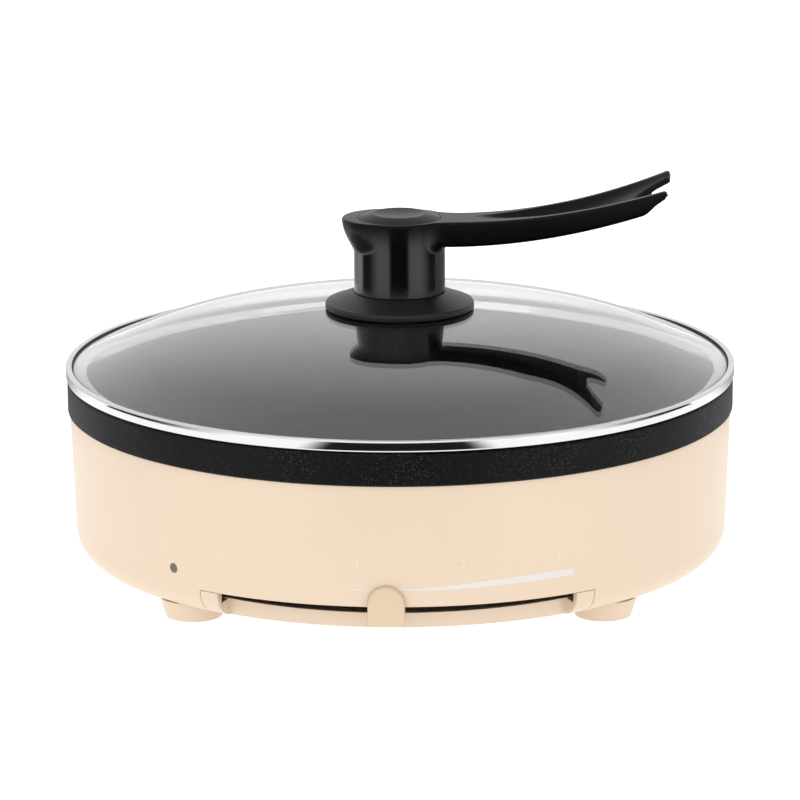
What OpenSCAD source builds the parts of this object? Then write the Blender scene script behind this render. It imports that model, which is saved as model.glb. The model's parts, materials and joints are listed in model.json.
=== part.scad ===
// Electric skillet: a coated pan in a cream housing, a control lever that swings under
// the front edge, and a domed glass lid whose handle stands up and forks into a fish tail.
// Millimetres. Z = 0 is the worktop, +X is to the right, -Y is the front.

/* [Pan] */
// Outer radius of the coated band round the mouth
pan_r = 155.4; // [130:0.2:180]
// Height of the coated band
band_h = 14.5; // [10:0.5:24]
// Thickness of the band's skirt
band_t = 3; // [2:0.1:4]
// Width of the flat rim from the band's face to the mouth
rim_w = 7.4; // [6:0.1:12]
// Inside depth
pan_depth = 52; // [40:1:80]
// Side wall
pan_wall = 3; // [2.2:0.1:4]
// Floor
pan_floor = 4; // [3:0.1:6]
// Inside radius between wall and floor
pan_corner = 22; // [14:0.5:28]
// How much the wall leans in from mouth to floor
pan_draft = 2; // [1:0.1:5]

/* [Housing] */
// Step from the band's face in to the housing's top edge
shell_step = 1; // [0.4:0.1:3]
// How much the wall leans in from the top edge to the lower round
shell_taper = 1.9; // [0.5:0.1:6]
// Wall
shell_wall = 2.4; // [1.8:0.1:3.2]
// Round between wall and underside
shell_corner = 12; // [8:0.5:16]
// From the housing's underside to the underside of the pan
under_h = 27; // [26:0.5:40]
// Width of the lip that the base plate sits inside
lip_w = 4.5; // [3:0.5:8]
// Seal between the housing and the band
gasket_t = 0.8; // [0.5:0.1:2]

/* [Base] */
// Height of the feet below the housing
foot_h = 9; // [6:0.5:18]
// Radius of a foot where it leaves the base
foot_r = 15.5; // [13:0.5:18]
// Radius of a foot at the bottom
foot_low_r = 12.8; // [11:0.2:16]
// From the housing wall in to the middle of a foot
foot_inset = 21.5; // [18:0.5:30]
// Radius of a rubber pad
pad_r = 9; // [7:0.5:11]
// Thickness of a rubber pad
pad_t = 2; // [1.4:0.1:3]
// How far a pad stands out of its foot
pad_out = 0.8; // [0.4:0.1:1.4]
// Thickness of the base plate
plate_t = 2.2; // [1.6:0.1:3]
// Height of the ring wall that shows under the front edge
ring_h = 7.3; // [6.5:0.1:12]
// How far the ring wall stands in from the housing wall
ring_inset = 8.7; // [6:0.1:10]
// Air slots in the base plate
vent_count = 24; // [8:2:32]
// Length of an air slot
vent_len = 26; // [12:1:34]
// Width of an air slot
vent_w = 3; // [2:0.2:4]

/* [Control] */
// Height of the gap that the lever swings in
slot_gap = 5.2; // [4.2:0.1:8]
// Half angle of the cut under the front edge
cut_half = 35.3; // [34:0.1:38]
// Half angle of the part of it that is left open
slot_half = 31.7; // [26:0.1:32.5]
// Where the lever stands, left of the middle
lever_rest = 1.7; // [0:0.1:6]
// Thickness of the lever's arm
lever_t = 3; // [2:0.1:3.4]
// Width of the arm where it passes the slot
neck_w = 8; // [5:0.5:10]
// Width of the thumb tab
tab_w = 16.6; // [12:0.2:22]
// Height of the thumb tab
tab_h = 18.2; // [12:0.1:24]
// How far the tab starts below the slot
tab_drop = 3.4; // [1:0.1:5]
// Radius of the lever's hub
hub_r = 9; // [7:0.5:12]
// Radius of the thermostat's spindle
spindle_r = 3; // [2.5:0.1:4]
// Angle of the pilot lamp, left of the middle
lamp_turn = 41; // [40:0.5:43]
// Height of the pilot lamp above the housing's underside
lamp_rise = 20.1; // [15:0.1:24]
// Radius of the pilot lens
lens_r = 2.2; // [1.5:0.1:3]

/* [Heater] */
// From the heat shield's edge in to the heating ring
heater_in = 20; // [16:1:30]
// Radius of the heating tube
heater_r = 4; // [3:0.1:5]
// Angle left open between the ends of the ring
heater_open = 16; // [12:1:30]
// Room between the heat shield's edge and the inlet's tabs
shield_gap = 6; // [4:0.5:12]
// Thickness of the heat shield
shield_t = 0.8; // [0.5:0.1:1.2]
// Height of the shield's upturned edge
shield_edge = 6; // [2:0.5:8]

/* [Inlet] */
// Width of the inlet's flange
inlet_w = 50; // [46:1:56]
// Height of the inlet's flange
inlet_h = 22; // [21:0.5:24]
// How deep the flange lies inside the housing wall
inlet_sunk = 5.5; // [4.5:0.1:8]
// Depth of the socket
socket_d = 17; // [15:0.5:19]
// Width of the socket
socket_w = 24.5; // [22:0.5:25]
// Height of the socket
socket_h = 16.5; // [15:0.5:17]

/* [Lid] */
// How far the steel rim stands out past the band
lid_over = 0.6; // [0.2:0.1:2]
// Height of the steel rim
rim_h = 5.3; // [4.8:0.1:8]
// Width of the rim outside the glass
rim_out = 1.5; // [1.4:0.1:4]
// How far the rim laps over the glass
rim_lap = 1.3; // [0.8:0.1:3]
// Sheet that the rim is rolled from
rim_sheet = 0.5; // [0.4:0.1:0.8]
// Thickness of the glass
glass_t = 3.5; // [3:0.1:5]
// Rise of the glass from its edge to its middle
dome_rise = 26.5; // [18:0.5:34]
// How full the glass's shoulders are, from 2 for a plain bowl
dome_full = 2.75; // [2:0.05:3.2]

/* [Handle] */
// Radius of the disc on the glass
flange_r = 34.7; // [30:0.1:42]
// Thickness of the disc's edge
flange_edge = 3.4; // [2:0.1:5]
// Rise of the disc's cone up to the column
flange_rise = 4.4; // [3:0.1:8]
// Radius of the column
column_r = 21.2; // [17:0.1:24]
// Height of the column below the head
column_h = 17.9; // [10:0.1:30]
// Height of the head
head_h = 17; // [14:0.1:24]
// How far the head leans out behind the column
head_lean = 5.5; // [2:0.1:9]
// Radius of the round cap
cap_r = 19.1; // [14:0.1:20]
// How far the cap's crown stands above the head
cap_rise = 3.4; // [0.8:0.1:4]
// Length of the arm from the column's axis
arm_len = 125; // [90:1:150]
// Where the arm starts to bend up
arm_start = 22; // [16:1:30]
// Radius of the arm's upward bend
arm_bend = 280; // [200:5:500]
// Width of the arm past its root
arm_root_w = 24; // [18:0.5:32]
// Width across the tail
arm_tip_w = 54; // [40:0.5:70]
// Thickness of the arm at its root
arm_root_t = 12; // [9:0.1:14]
// Thickness of the arm at its tail
arm_tip_t = 8.4; // [7:0.1:11]
// Width of the flat band along each edge of the arm
arm_band = 6; // [4:0.5:9]
// Depth of the trough along the arm
dish_depth = 5.4; // [2:0.1:6]
// Depth that the trough has left at the tail
dish_end = 3.4; // [1.5:0.1:4.5]
// Where the trough starts
dish_start = 33; // [28:1:50]
// Length over which the trough reaches its depth
dish_run = 34; // [20:1:60]
// Radius of the notch between the prongs
notch_r = 23; // [14:0.5:30]
// How far the notch reaches in from the tail's end
notch_in = 9.5; // [4:0.5:16]
// Height of the upright face that blunts the prongs
tail_blunt = 2.6; // [1:0.1:4]
// Corner taken off the outer side of each prong's tip
tip_corner = 2; // [0.5:0.1:2.5]
// Slant of the tail's end
tail_slant = 42; // [10:1:55]
// How far the handle is turned to the front
handle_turn = 4; // [0:0.5:30]

/* [Fits] */
// Room between pieces that part
fit = 0.3; // [0.2:0.05:0.5]
// Room round a piece that is pushed in
push = 0.05; // [0.02:0.01:0.1]
// Room between the spindle and its bush
run = 0.04; // [0.02:0.01:0.08]
// Radius of the internal wires
wire_r = 1.1; // [0.8:0.1:1.4]

/* [Hidden] */
$fn = 96;

// Colours that tell the materials apart
cream = [0.94, 0.87, 0.77];
coat = [0.12, 0.12, 0.13];
black = [0.06, 0.06, 0.06];
steel = [0.76, 0.77, 0.78];
brass = [0.80, 0.66, 0.34];
ceramic = [0.90, 0.88, 0.82];
rubber = [0.62, 0.62, 0.60];
glass = [0.70, 0.78, 0.80, 0.45];

// Levels, from the worktop up
z_shell0 = foot_h;
z_plate1 = z_shell0 + plate_t;
z_ring1 = z_shell0 + ring_h;
z_cut = z_ring1 + slot_gap;
z_under = z_shell0 + under_h;
z_floor = z_under + pan_floor;
z_band1 = z_floor + pan_depth;
z_band0 = z_band1 - band_h;
z_shell1 = z_band0 - gasket_t;
z_rim0 = z_band1 + fit;
z_rim1 = z_rim0 + rim_h;

// Radii that follow the pan's band
mouth_r = pan_r - rim_w;
pan_low_r = mouth_r - pan_draft;
shell_top_r = pan_r - shell_step;
shell_low_r = shell_top_r - shell_taper;
open_r = shell_low_r - shell_corner - lip_w;
ring_r = shell_low_r - ring_inset;
ring_lean = 2.2;
ring_t = 2.2;
foot_ring = shell_low_r - foot_inset;
lid_r = pan_r + lid_over;
glass_r = lid_r - rim_out;

// Screws through the feet: head, shank and the towers and sleeves that they pass
foot_turns = [225, 315, 135, 45];
long_head_r = 4;
long_head_h = 2.8;
long_shank_r = 2;
tower_r = 6.5;
foot_seat = 0.9;
plate_lap = 0.4;
sleeve_r = 6;
post_len = 6;
z_long_head = z_plate1 - 0.8;
z_post = z_under - post_len;
post_bore = 1.5;

// Short screws: head radius, head height and shank radius
short_head_r = 3;
short_head_h = 2.2;
short_shank_r = 1.5;

// Inlet, with its tabs inside the housing
inlet_z = z_shell0 + 15.8;
inlet_y = shell_low_r - inlet_sunk;
flange_t = 2;
inlet_body_w = 27.6;
inlet_body_h = 20.4;
inlet_back_t = 7;
inlet_back_y = inlet_y - socket_d - inlet_back_t;
inlet_hole = 20;
pin_pitch = 7;
pin_low = 2;
blade = [2, 12, 4];
tab = [0.8, 9, 6];
wire_y = inlet_back_y - tab[1];
wire_sides = 8;

// Heater, thermostat and fuse hang from the pan
rib_h = 5;
rib_t = 3;
shield_r = wire_y - shield_gap;
heater_ring = shield_r - heater_in;
z_heater = z_under - rib_h;
boss_h = 3;
post_in = 30;
shield_post = heater_ring - post_in;
shield_drop = 10;
z_shield1 = z_under - shield_drop;
z_shield0 = z_shield1 - shield_t;
shield_eye = 36;
leg_len = 7;
leg_step = 0.6;
leg_turn = heater_open / 2 + asin((heater_r + 1) / heater_ring);
pin_r = 1.6;
pin_len = 7;
bead_h = 2.5;
bracket_half = 27;
bracket_w = 14;
bracket_t = 1;
bracket_hole = 21;
z_bracket0 = z_under - boss_h - bracket_t;
stack_r = 8;
bush_r = 5;
leaf_w = 5;
leaf_t = 0.6;
leaf_z = z_bracket0 - 4;
leaf_front = 14;
leaf_rear = 26;
fuse_r = 2.2;
fuse_half = 7;
fuse_y = -18;
fuse_z = z_under - fuse_r - push;
clip_t = 0.8;
clip_w = 8;
clip_reach = 9;
earth_at = [24, wire_y - 2];
earth_post_len = 7;
earth_tag_r = 4.5;

// The lever's hub hangs on the spindle between the base plate and the thermostat
web_t = 1.6;
lever_head_h = 1.6;
z_hub0 = z_plate1 + lever_head_h + 2 * fit;
z_hub1 = z_cut + 0.2;
z_arm0 = z_ring1 + (slot_gap - lever_t) / 2;
z_bush0 = z_hub1 + fit;
z_spindle0 = z_hub0 + web_t;
z_spindle1 = z_bush0 + 5;
flat_x = spindle_r - 0.8;
tab_in = shell_low_r + 0.8;
tab_out = lid_r;
arm_w_hub = 13;

// Pilot lamp
lens_flange_r = lens_r + 1.4;
lens_flange_t = 1.2;
lamp_r = 3.4;
lamp_len = 12;
lamp_boss_r = 5.5;
lamp_boss_len = 9;
z_lamp = z_shell0 + lamp_rise;
shell_at_lamp = shell_low_r
    + shell_taper * (lamp_rise - shell_corner) / (z_shell1 - z_shell0 - shell_corner);

// Glass: its height at a radius, at an upright depth in it
dome_edge = z_rim0 + rim_sheet + push + glass_t;
dome_steps = 24;
function dome_z(r, depth = 0) = dome_edge + dome_rise * (1 - pow(r / glass_r, dome_full)) - depth;

// Handle
lid_bore = 5;
flange_gap = 0.15;
seal_r = 28;
seal_t = 1.2;
z_seal1 = dome_z(0) + seal_t;
z_flange0 = dome_z(flange_r) + flange_gap;
z_column0 = z_flange0 + flange_edge + flange_rise;
z_head0 = z_column0 + column_h;
z_head1 = z_head0 + head_h;
cap_seat = 1.5;
insert_r = 4;
insert_len = 12;
lid_shank_r = 2.2;
clamp_r = 18;
clamp_t = 4;
lid_head_r = 4.4;
lid_head_h = 2.8;
peg_r = 3.5;
peg_len = 8;
head_round = column_r - 1.6;

// Plan and side of the arm at a distance s from the column's axis
arm_inner = 8;
arm_steps = 26;
arm_cols = 16;
root_run = 20;
root_spread = sqrt(column_r * column_r - arm_inner * arm_inner) - arm_root_w / 2 - 0.8;
function along(s) = max(0, (s - arm_start) / (arm_len - arm_start));
function ease(v) = let (c = min(1, max(0, v))) c * c * (3 - 2 * c);
function arm_top(s) = z_head1 + pow(max(0, s - arm_start), 2) / (2 * arm_bend);
function root_half(s) = root_spread * pow(max(0, 1 - (s - arm_inner) / root_run), 2);
function arm_half(s) =
    (arm_root_w + (arm_tip_w - arm_root_w) * pow(along(s), 2)) / 2 + root_half(s);
function arm_thick(s) = arm_root_t - (arm_root_t - arm_tip_t) * pow(along(s), 1.5);
function arm_dish(s) = ease((s - dish_start) / dish_run)
    * (dish_depth + (dish_end - dish_depth) * ease((along(s) - 0.6) / 0.4));
function dish_half(s) = (arm_half(s) - arm_band) * sqrt(min(1, max(0, (s - dish_start) / dish_run)));
function trough(s, y) = arm_dish(s) * max(0, 1 - pow(abs(y) / max(0.1, dish_half(s)), 3));
function station(i) = arm_inner + (arm_len - arm_inner) * i / arm_steps;
function column(i, j) = arm_half(station(i)) * (2 * j / arm_cols - 1);

// Shared shapes

// Filled half profile of a cup whose wall leans in and whose lower corner is round
module cup_profile(r_top, r_low, z0, z1, corner) {
    polygon([[0, z0 + corner], [r_low, z0 + corner], [r_top, z1], [0, z1]]);
    translate([0, z0])
        square([r_low - corner, corner]);
    translate([r_low - corner, z0 + corner])
        circle(corner);
}

// Part of a ring between two angles
module sector(r0, r1, z0, z1, from, to) {
    rotate([0, 0, from])
        rotate_extrude(angle = to - from)
            translate([r0, z0])
                square([r1 - r0, z1 - z0]);
}

// Plain cylinder between two levels
module level(r, z0, z1) {
    translate([0, 0, z0])
        cylinder(r = r, h = z1 - z0);
}

// Screw that points up, with the top of its head at z
module screw_up(z, head_r, head_h, shank_r, shank_len) {
    level(head_r, z - head_h, z);
    level(shank_r, z - 0.1, z + shank_len);
}

// Slides each point of a ring along d on to the plane through p that faces m
function slide(ring, d, p, m) = [for (q = ring) q + d * (((p - q) * m) / (d * m))];

// Unit step from one point of a path to the next
function step(path, i) = (path[i + 1] - path[i]) / norm(path[i + 1] - path[i]);

// Rings of a tube along a path, each lying on the mitre at its point
function tube_rings(path, ring, i = 0) =
    i == len(path) - 1
        ? [ring]
        : let (last = i + 1 == len(path) - 1,
            facing = last ? step(path, i) : step(path, i) + step(path, i + 1))
            concat([ring], tube_rings(path, slide(ring, step(path, i), path[i + 1], facing), i + 1));

// Wire along a path, as one closed tube
module wire(path) {
    sides = wire_sides;
    d = step(path, 0);
    u = cross(d, [0, 0, 1]) / norm(cross(d, [0, 0, 1]));
    v = cross(u, d);
    first = [for (k = [0 : sides - 1])
        path[0] + wire_r * (cos(360 * k / sides) * u + sin(360 * k / sides) * v)];
    rings = tube_rings(path, first);
    last = (len(path) - 1) * sides;
    walls = [for (i = [0 : len(path) - 2], k = [0 : sides - 1])
        let (a = i * sides + k, b = i * sides + (k + 1) % sides)
        each [[a, b, b + sides], [a, b + sides, a + sides]]];
    ends = [for (k = [1 : sides - 2])
        each [[0, k + 1, k], [last, last + k, last + k + 1]]];
    polyhedron([for (ring = rings) each ring], concat(walls, ends));
}

// Places its children at the four feet
module at_feet() {
    for (turn = foot_turns)
        rotate([0, 0, turn])
            translate([foot_ring, 0, 0])
                children();
}

// Lies its children along the pilot lamp's axis, pointing out
module at_lamp() {
    rotate([0, 0, 270 - lamp_turn])
        translate([0, 0, z_lamp])
            rotate([0, 90, 0])
                children();
}

// Housing

module shell_outer() {
    rotate_extrude()
        cup_profile(shell_top_r, shell_low_r, z_shell0, z_shell1, shell_corner);
}

module shell_inner() {
    rotate_extrude()
        cup_profile(shell_top_r - shell_wall, shell_low_r - shell_wall,
            z_shell0 + shell_wall, z_shell1 + 1, shell_corner - shell_wall);
}

// Sleeves over the feet, the lamp's boss and the wall round the inlet
module shell_inside() {
    at_feet() {
        level(sleeve_r, z_ring1 + fit, z_post);
        translate([sleeve_r - 1, -1.5, z_cut])
            cube([foot_inset, 3, z_post - z_cut]);
    }
    at_lamp()
        level(lamp_boss_r, shell_at_lamp - shell_wall - lamp_boss_len, shell_at_lamp);
    translate([-inlet_w / 2 - shell_wall - fit, inlet_y - flange_t - shell_wall,
        inlet_z - inlet_h / 2 - shell_wall - fit])
        cube([inlet_w + 2 * (shell_wall + fit), inlet_sunk + flange_t + 2 * shell_wall,
            inlet_h + 2 * (shell_wall + fit)]);
}

module shell() color(cream) {
    difference() {
        union() {
            difference() {
                shell_outer();
                shell_inner();
            }
            intersection() {
                shell_outer();
                shell_inside();
            }
        }
        level(open_r, z_shell0 - 1, z_shell0 + shell_wall + 0.4);
        sector(open_r - 1, pan_r, 0, z_cut, 270 - cut_half, 270 + cut_half);
        at_feet() {
            level(foot_r + fit, z_shell0 - 1, z_shell0 + foot_seat);
            level(tower_r + fit, z_shell0 - 1, z_ring1 + fit);
            level(long_shank_r + fit, z_ring1, z_post + 1);
        }
        at_lamp() {
            level(lens_r + push, shell_at_lamp - shell_wall - 1, shell_at_lamp + 2);
            level(lens_flange_r + 2 * push, shell_at_lamp - shell_wall - lamp_boss_len - 1,
                shell_at_lamp - shell_wall);
        }
        translate([-inlet_w / 2 - fit, inlet_y - flange_t, inlet_z - inlet_h / 2 - fit])
            cube([inlet_w + 2 * fit, inlet_sunk + flange_t + 5, inlet_h + 2 * fit]);
        translate([-inlet_body_w / 2 - fit, inlet_y - 20, inlet_z - inlet_body_h / 2 - fit])
            cube([inlet_body_w + 2 * fit, 20, inlet_body_h + 2 * fit]);
        for (side = [-1, 1])
            translate([side * inlet_hole, inlet_y, inlet_z])
                rotate([90, 0, 0])
                    cylinder(r = short_shank_r + push, h = 20);
    }
}

// Base plate with its feet, the ring wall under the front edge and the pods that end it

module foot_outside() {
    translate([0, 0, pad_out])
        cylinder(r1 = foot_low_r, r2 = foot_r, h = z_shell0 + foot_seat - pad_out);
}

// Ring wall under the front edge, on a flange that laps over the disc's edge
module front_ring(half) {
    rotate([0, 0, 270 - half])
        rotate_extrude(angle = 2 * half)
            polygon([[open_r - 4, z_shell0], [ring_r - ring_lean, z_shell0], [ring_r, z_ring1],
                [ring_r - ring_t, z_ring1], [ring_r - ring_lean - ring_t, z_plate1 + plate_lap],
                [open_r - 4, z_plate1 + plate_lap]]);
}

// Block that fills the housing's cut past each end of the slot, with a thin wall above the ring
module slot_pod(from, to) {
    pod_in = ring_r - ring_lean - ring_t - 1;
    pod_wall = 3.6;
    rotate([0, 0, from])
        rotate_extrude(angle = to - from)
            intersection() {
                cup_profile(shell_top_r, shell_low_r, z_shell0, z_shell1, shell_corner);
                union() {
                    translate([pod_in, z_shell0 + fit])
                        square([pan_r - pod_in, ring_h - 2 * fit]);
                    translate([shell_low_r - pod_wall, z_shell0 + fit])
                        square([pan_r - shell_low_r + pod_wall, z_cut - z_shell0 - 2 * fit]);
                }
            }
}

module base_plate() color(cream) {
    pod_end = cut_half - asin(fit / ring_r);
    difference() {
        union() {
            level(open_r - fit, z_shell0 + plate_lap, z_plate1);
            front_ring((slot_half + pod_end) / 2);
            slot_pod(270 - pod_end, 270 - slot_half);
            slot_pod(270 + slot_half, 270 + pod_end);
            at_feet() {
                foot_outside();
                level(tower_r, z_shell0 - 1, z_ring1);
            }
        }
        at_feet() {
            level(pad_r + push, pad_out - 1, pad_t);
            level(long_head_r + fit, pad_t - 1, z_long_head);
            level(long_shank_r + fit, z_long_head - 1, z_ring1 + 1);
        }
        for (i = [0 : vent_count - 1])
            rotate([0, 0, 360 / vent_count * (i + 0.5)])
                translate([shield_post - vent_len / 2, -vent_w / 2, z_shell0 - 1])
                    cube([vent_len, vent_w, plate_t + 2]);
    }
}

module foot_pad(index) color(rubber) {
    rotate([0, 0, foot_turns[index]])
        translate([foot_ring, 0, 0])
            cylinder(r = pad_r, h = pad_t);
}

module base_screws() color(steel) {
    at_feet()
        screw_up(z_long_head, long_head_r, long_head_h, long_shank_r,
            z_under + post_bore - 0.5 - z_long_head);
}

// Pan: a cast dish with its skirt, and what is cast on its underside

module pan_section() {
    difference() {
        union() {
            cup_profile(mouth_r + pan_wall, pan_low_r + pan_wall, z_under, z_band1,
                pan_corner + pan_wall);
            translate([pan_r - band_t, z_band0])
                square([band_t, band_h - 1.2]);
            translate([mouth_r + 1, z_band1 - 4])
                square([rim_w - 2.2, 4]);
            translate([pan_r - 1.2, z_band1 - 1.2])
                circle(1.2);
        }
        cup_profile(mouth_r, pan_low_r, z_floor, z_band1 + 1, pan_corner);
    }
}

module heater_groove() {
    rotate_extrude()
        translate([heater_ring, z_heater])
            circle(heater_r + push);
}

module pan_posts() {
    at_feet()
        level(sleeve_r, z_post, z_under + 8);
    for (side = [-1, 1])
        translate([side * bracket_hole, 0, 0])
            level(5, z_under - boss_h, z_under + 1);
    for (turn = [30, 150, 270])
        rotate([0, 0, turn])
            translate([shield_post, 0, 0])
                level(5, z_shield1, z_under + 1);
    translate([0, fuse_y - clip_reach, 0])
        level(4, fuse_z - clip_t + 1, z_under + 1);
    translate(earth_at)
        level(5, z_under - earth_post_len, z_under + 1);
    difference() {
        level(heater_ring + heater_r + rib_t, z_heater, z_under + 1);
        level(heater_ring - heater_r - rib_t, z_heater - 1, z_under + 2);
    }
}

module pan_bores() {
    at_feet()
        level(long_shank_r + push, z_post - 1, z_under + post_bore);
    for (side = [-1, 1])
        translate([side * bracket_hole, 0, 0])
            level(short_shank_r + push, z_under - boss_h - 1, z_under + post_bore);
    for (turn = [30, 150, 270])
        rotate([0, 0, turn])
            translate([shield_post, 0, 0])
                level(short_shank_r + push, z_shield1 - 1, z_under + post_bore);
    translate([0, fuse_y - clip_reach, 0])
        level(short_shank_r + push, fuse_z - 4, z_under + post_bore);
    translate(earth_at)
        level(short_shank_r + push, z_under - earth_post_len - 1, z_under + post_bore);
}

module pan() color(coat) {
    difference() {
        union() {
            rotate_extrude()
                pan_section();
            difference() {
                pan_posts();
                rotate_extrude()
                    cup_profile(mouth_r, pan_low_r, z_floor, z_band1 + 1, pan_corner);
            }
        }
        heater_groove();
        pan_bores();
    }
}

module pan_gasket() color(black) {
    difference() {
        level(shell_top_r - 0.2, z_shell1, z_band0);
        level(pan_r - band_t, z_shell1 - 1, z_band0 + 1);
    }
}

// Heater and shield

module heater_end(side) {
    rotate([0, 0, 90 + side * leg_turn])
        translate([heater_ring, 0, 0])
            children();
}

module heater() color(steel) {
    rotate([0, 0, 90 + heater_open / 2])
        rotate_extrude(angle = 360 - heater_open)
            translate([heater_ring, z_heater])
                circle(heater_r);
    for (side = [-1, 1])
        heater_end(side) {
            level(heater_r - leg_step, z_heater - leg_len, z_heater);
            level(pin_r, z_heater - leg_len - pin_len, z_heater - leg_len + 1);
        }
}

module heater_beads() color(ceramic) {
    for (side = [-1, 1])
        heater_end(side)
            difference() {
                level(heater_r + leg_step, z_heater - leg_len - bead_h, z_heater - leg_len);
                level(pin_r + push, z_heater - leg_len - bead_h - 1, z_heater - leg_len + 1);
            }
}

module heat_shield() color(steel) {
    difference() {
        union() {
            level(shield_r, z_shield0, z_shield1);
            difference() {
                level(shield_r, z_shield0, z_shield0 + shield_edge);
                level(shield_r - shield_t, z_shield0 - 1, z_shield0 + shield_edge + 1);
            }
        }
        level(shield_eye, z_shield0 - 1, z_shield1 + 1);
        for (turn = [30, 150, 270])
            rotate([0, 0, turn])
                translate([shield_post, 0, 0])
                    level(short_shank_r + fit, z_shield0 - 1, z_shield1 + 1);
        for (side = [-1, 1])
            heater_end(side)
                level(heater_r + 1.4, z_shield0 - 1, z_shield1 + 1);
    }
}

module shield_screws() color(steel) {
    for (turn = [30, 150, 270])
        rotate([0, 0, turn])
            translate([shield_post, 0, 0])
                screw_up(z_shield0, short_head_r, short_head_h, short_shank_r,
                    shield_drop + shield_t);
}

// Thermostat, thermal fuse and earth point

module thermostat_bracket() color(steel) {
    difference() {
        union() {
            translate([-bracket_half, -bracket_w / 2, z_bracket0])
                cube([2 * bracket_half, bracket_w, bracket_t]);
            for (side = [-1, 1])
                translate([-bracket_hole + 6, side * (bracket_w / 2 - 0.5) - 0.5, z_bracket0 - 2])
                    cube([2 * bracket_hole - 12, 1, 2 + bracket_t / 2]);
        }
        for (side = [-1, 1])
            translate([side * bracket_hole, 0, 0])
                level(short_shank_r + fit, z_bracket0 - 1, z_bracket0 + bracket_t + 1);
        level(stack_r + 1.5, z_bracket0 - 3, z_bracket0);
    }
}

module thermostat_screws() color(steel) {
    for (side = [-1, 1])
        translate([side * bracket_hole, 0, 0])
            screw_up(z_bracket0, short_head_r, short_head_h, short_shank_r,
                bracket_t + boss_h);
}

module thermostat_body() color(ceramic) {
    difference() {
        level(stack_r, z_bush0 + 1.8, z_bracket0);
        level(bush_r + push, z_bush0, z_spindle1 + 0.4);
        translate([-leaf_w / 2 - push, -stack_r - 1, leaf_z - push])
            cube([leaf_w + 2 * push, 2 * stack_r + 2, leaf_t + 2 * push]);
    }
}

module thermostat_bush() color(brass) {
    difference() {
        level(bush_r, z_bush0, z_spindle1 + 0.4);
        level(spindle_r + run, z_bush0 - 1, z_spindle1 + 1);
    }
}

module thermostat_leaves() color(brass) {
    translate([-leaf_w / 2, -leaf_front, leaf_z])
        cube([leaf_w, leaf_front - 0.5, leaf_t]);
    translate([-leaf_w / 2, 0.5, leaf_z])
        cube([leaf_w, leaf_rear - 0.5, leaf_t]);
}

module thermal_fuse() color(brass) {
    translate([-fuse_half, fuse_y, fuse_z])
        rotate([0, 90, 0])
            cylinder(r = fuse_r, h = 2 * fuse_half);
}

// Strap bent round the fuse, with an ear under its screw
module fuse_clip() color(steel) {
    translate([-clip_w / 2, fuse_y, fuse_z])
        difference() {
            union() {
                rotate([0, 90, 0])
                    cylinder(r = fuse_r + push + clip_t, h = clip_w);
                translate([0, -clip_reach - 4, 1 - 2 * clip_t])
                    cube([clip_w, clip_reach + 4, clip_t]);
            }
            translate([-1, 0, 0])
                rotate([0, 90, 0])
                    cylinder(r = fuse_r + push, h = clip_w + 2);
            translate([-1, -fuse_r - push, 0])
                cube([clip_w + 2, 20, 20]);
            translate([-1, -20, 1 - clip_t])
                cube([clip_w + 2, 40, 20]);
            translate([clip_w / 2, -clip_reach, -10])
                cylinder(r = short_shank_r + fit, h = 20);
        }
}

module fuse_screw() color(steel) {
    translate([0, fuse_y - clip_reach, 0])
        screw_up(fuse_z + 1 - 2 * clip_t, short_head_r, short_head_h, short_shank_r, 3.5);
}

module earth_tag() color(brass) {
    translate([earth_at[0], earth_at[1], z_under - earth_post_len - 0.8])
        difference() {
            cylinder(r = earth_tag_r, h = 0.8);
            translate([0, 0, -1])
                cylinder(r = short_shank_r + fit, h = 3);
        }
}

module earth_screw() color(steel) {
    translate(earth_at)
        screw_up(z_under - earth_post_len - 0.8, short_head_r, short_head_h, short_shank_r, 7);
}

// Pilot lamp

module indicator_lens() color(rubber) {
    at_lamp() {
        level(lens_r, shell_at_lamp - shell_wall - lens_flange_t, shell_at_lamp);
        level(lens_flange_r, shell_at_lamp - shell_wall - lens_flange_t,
            shell_at_lamp - shell_wall);
    }
}

module indicator_lamp() color(ceramic) {
    at_lamp()
        level(lamp_r, shell_at_lamp - shell_wall - lens_flange_t - lamp_len,
            shell_at_lamp - shell_wall - lens_flange_t);
}

// Inlet: a sunk appliance socket with three flat pins

// Outline of the socket, with its two upper corners cut off
module socket_outline(w, h, cut) {
    polygon([[-w / 2, -h / 2], [w / 2, -h / 2], [w / 2, h / 2 - cut], [w / 2 - cut, h / 2],
        [-w / 2 + cut, h / 2], [-w / 2, h / 2 - cut]]);
}

module at_inlet(y) {
    translate([0, y, inlet_z])
        rotate([90, 0, 0])
            children();
}

// Middle of each pin, seen from behind
pin_places = [[-pin_pitch, -pin_low], [pin_pitch, -pin_low], [0, pin_low]];

module power_inlet() color(black) {
    difference() {
        union() {
            at_inlet(inlet_y)
                linear_extrude(flange_t)
                    square([inlet_w, inlet_h], center = true);
            at_inlet(inlet_y - flange_t / 2)
                linear_extrude(inlet_y - flange_t / 2 - inlet_back_y)
                    square([inlet_body_w, inlet_body_h], center = true);
        }
        at_inlet(inlet_y + 1)
            linear_extrude(socket_d + 1)
                socket_outline(socket_w, socket_h, 5);
        for (p = pin_places)
            translate([p[0] - blade[0] / 2 - push, inlet_back_y - 1,
                inlet_z + p[1] - blade[2] / 2 - push])
                cube([blade[0] + 2 * push, inlet_back_t + 2, blade[2] + 2 * push]);
        for (side = [-1, 1])
            translate([side * inlet_hole, inlet_y + 1, inlet_z])
                rotate([90, 0, 0])
                    cylinder(r = short_shank_r + fit, h = 20);
    }
}

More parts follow.
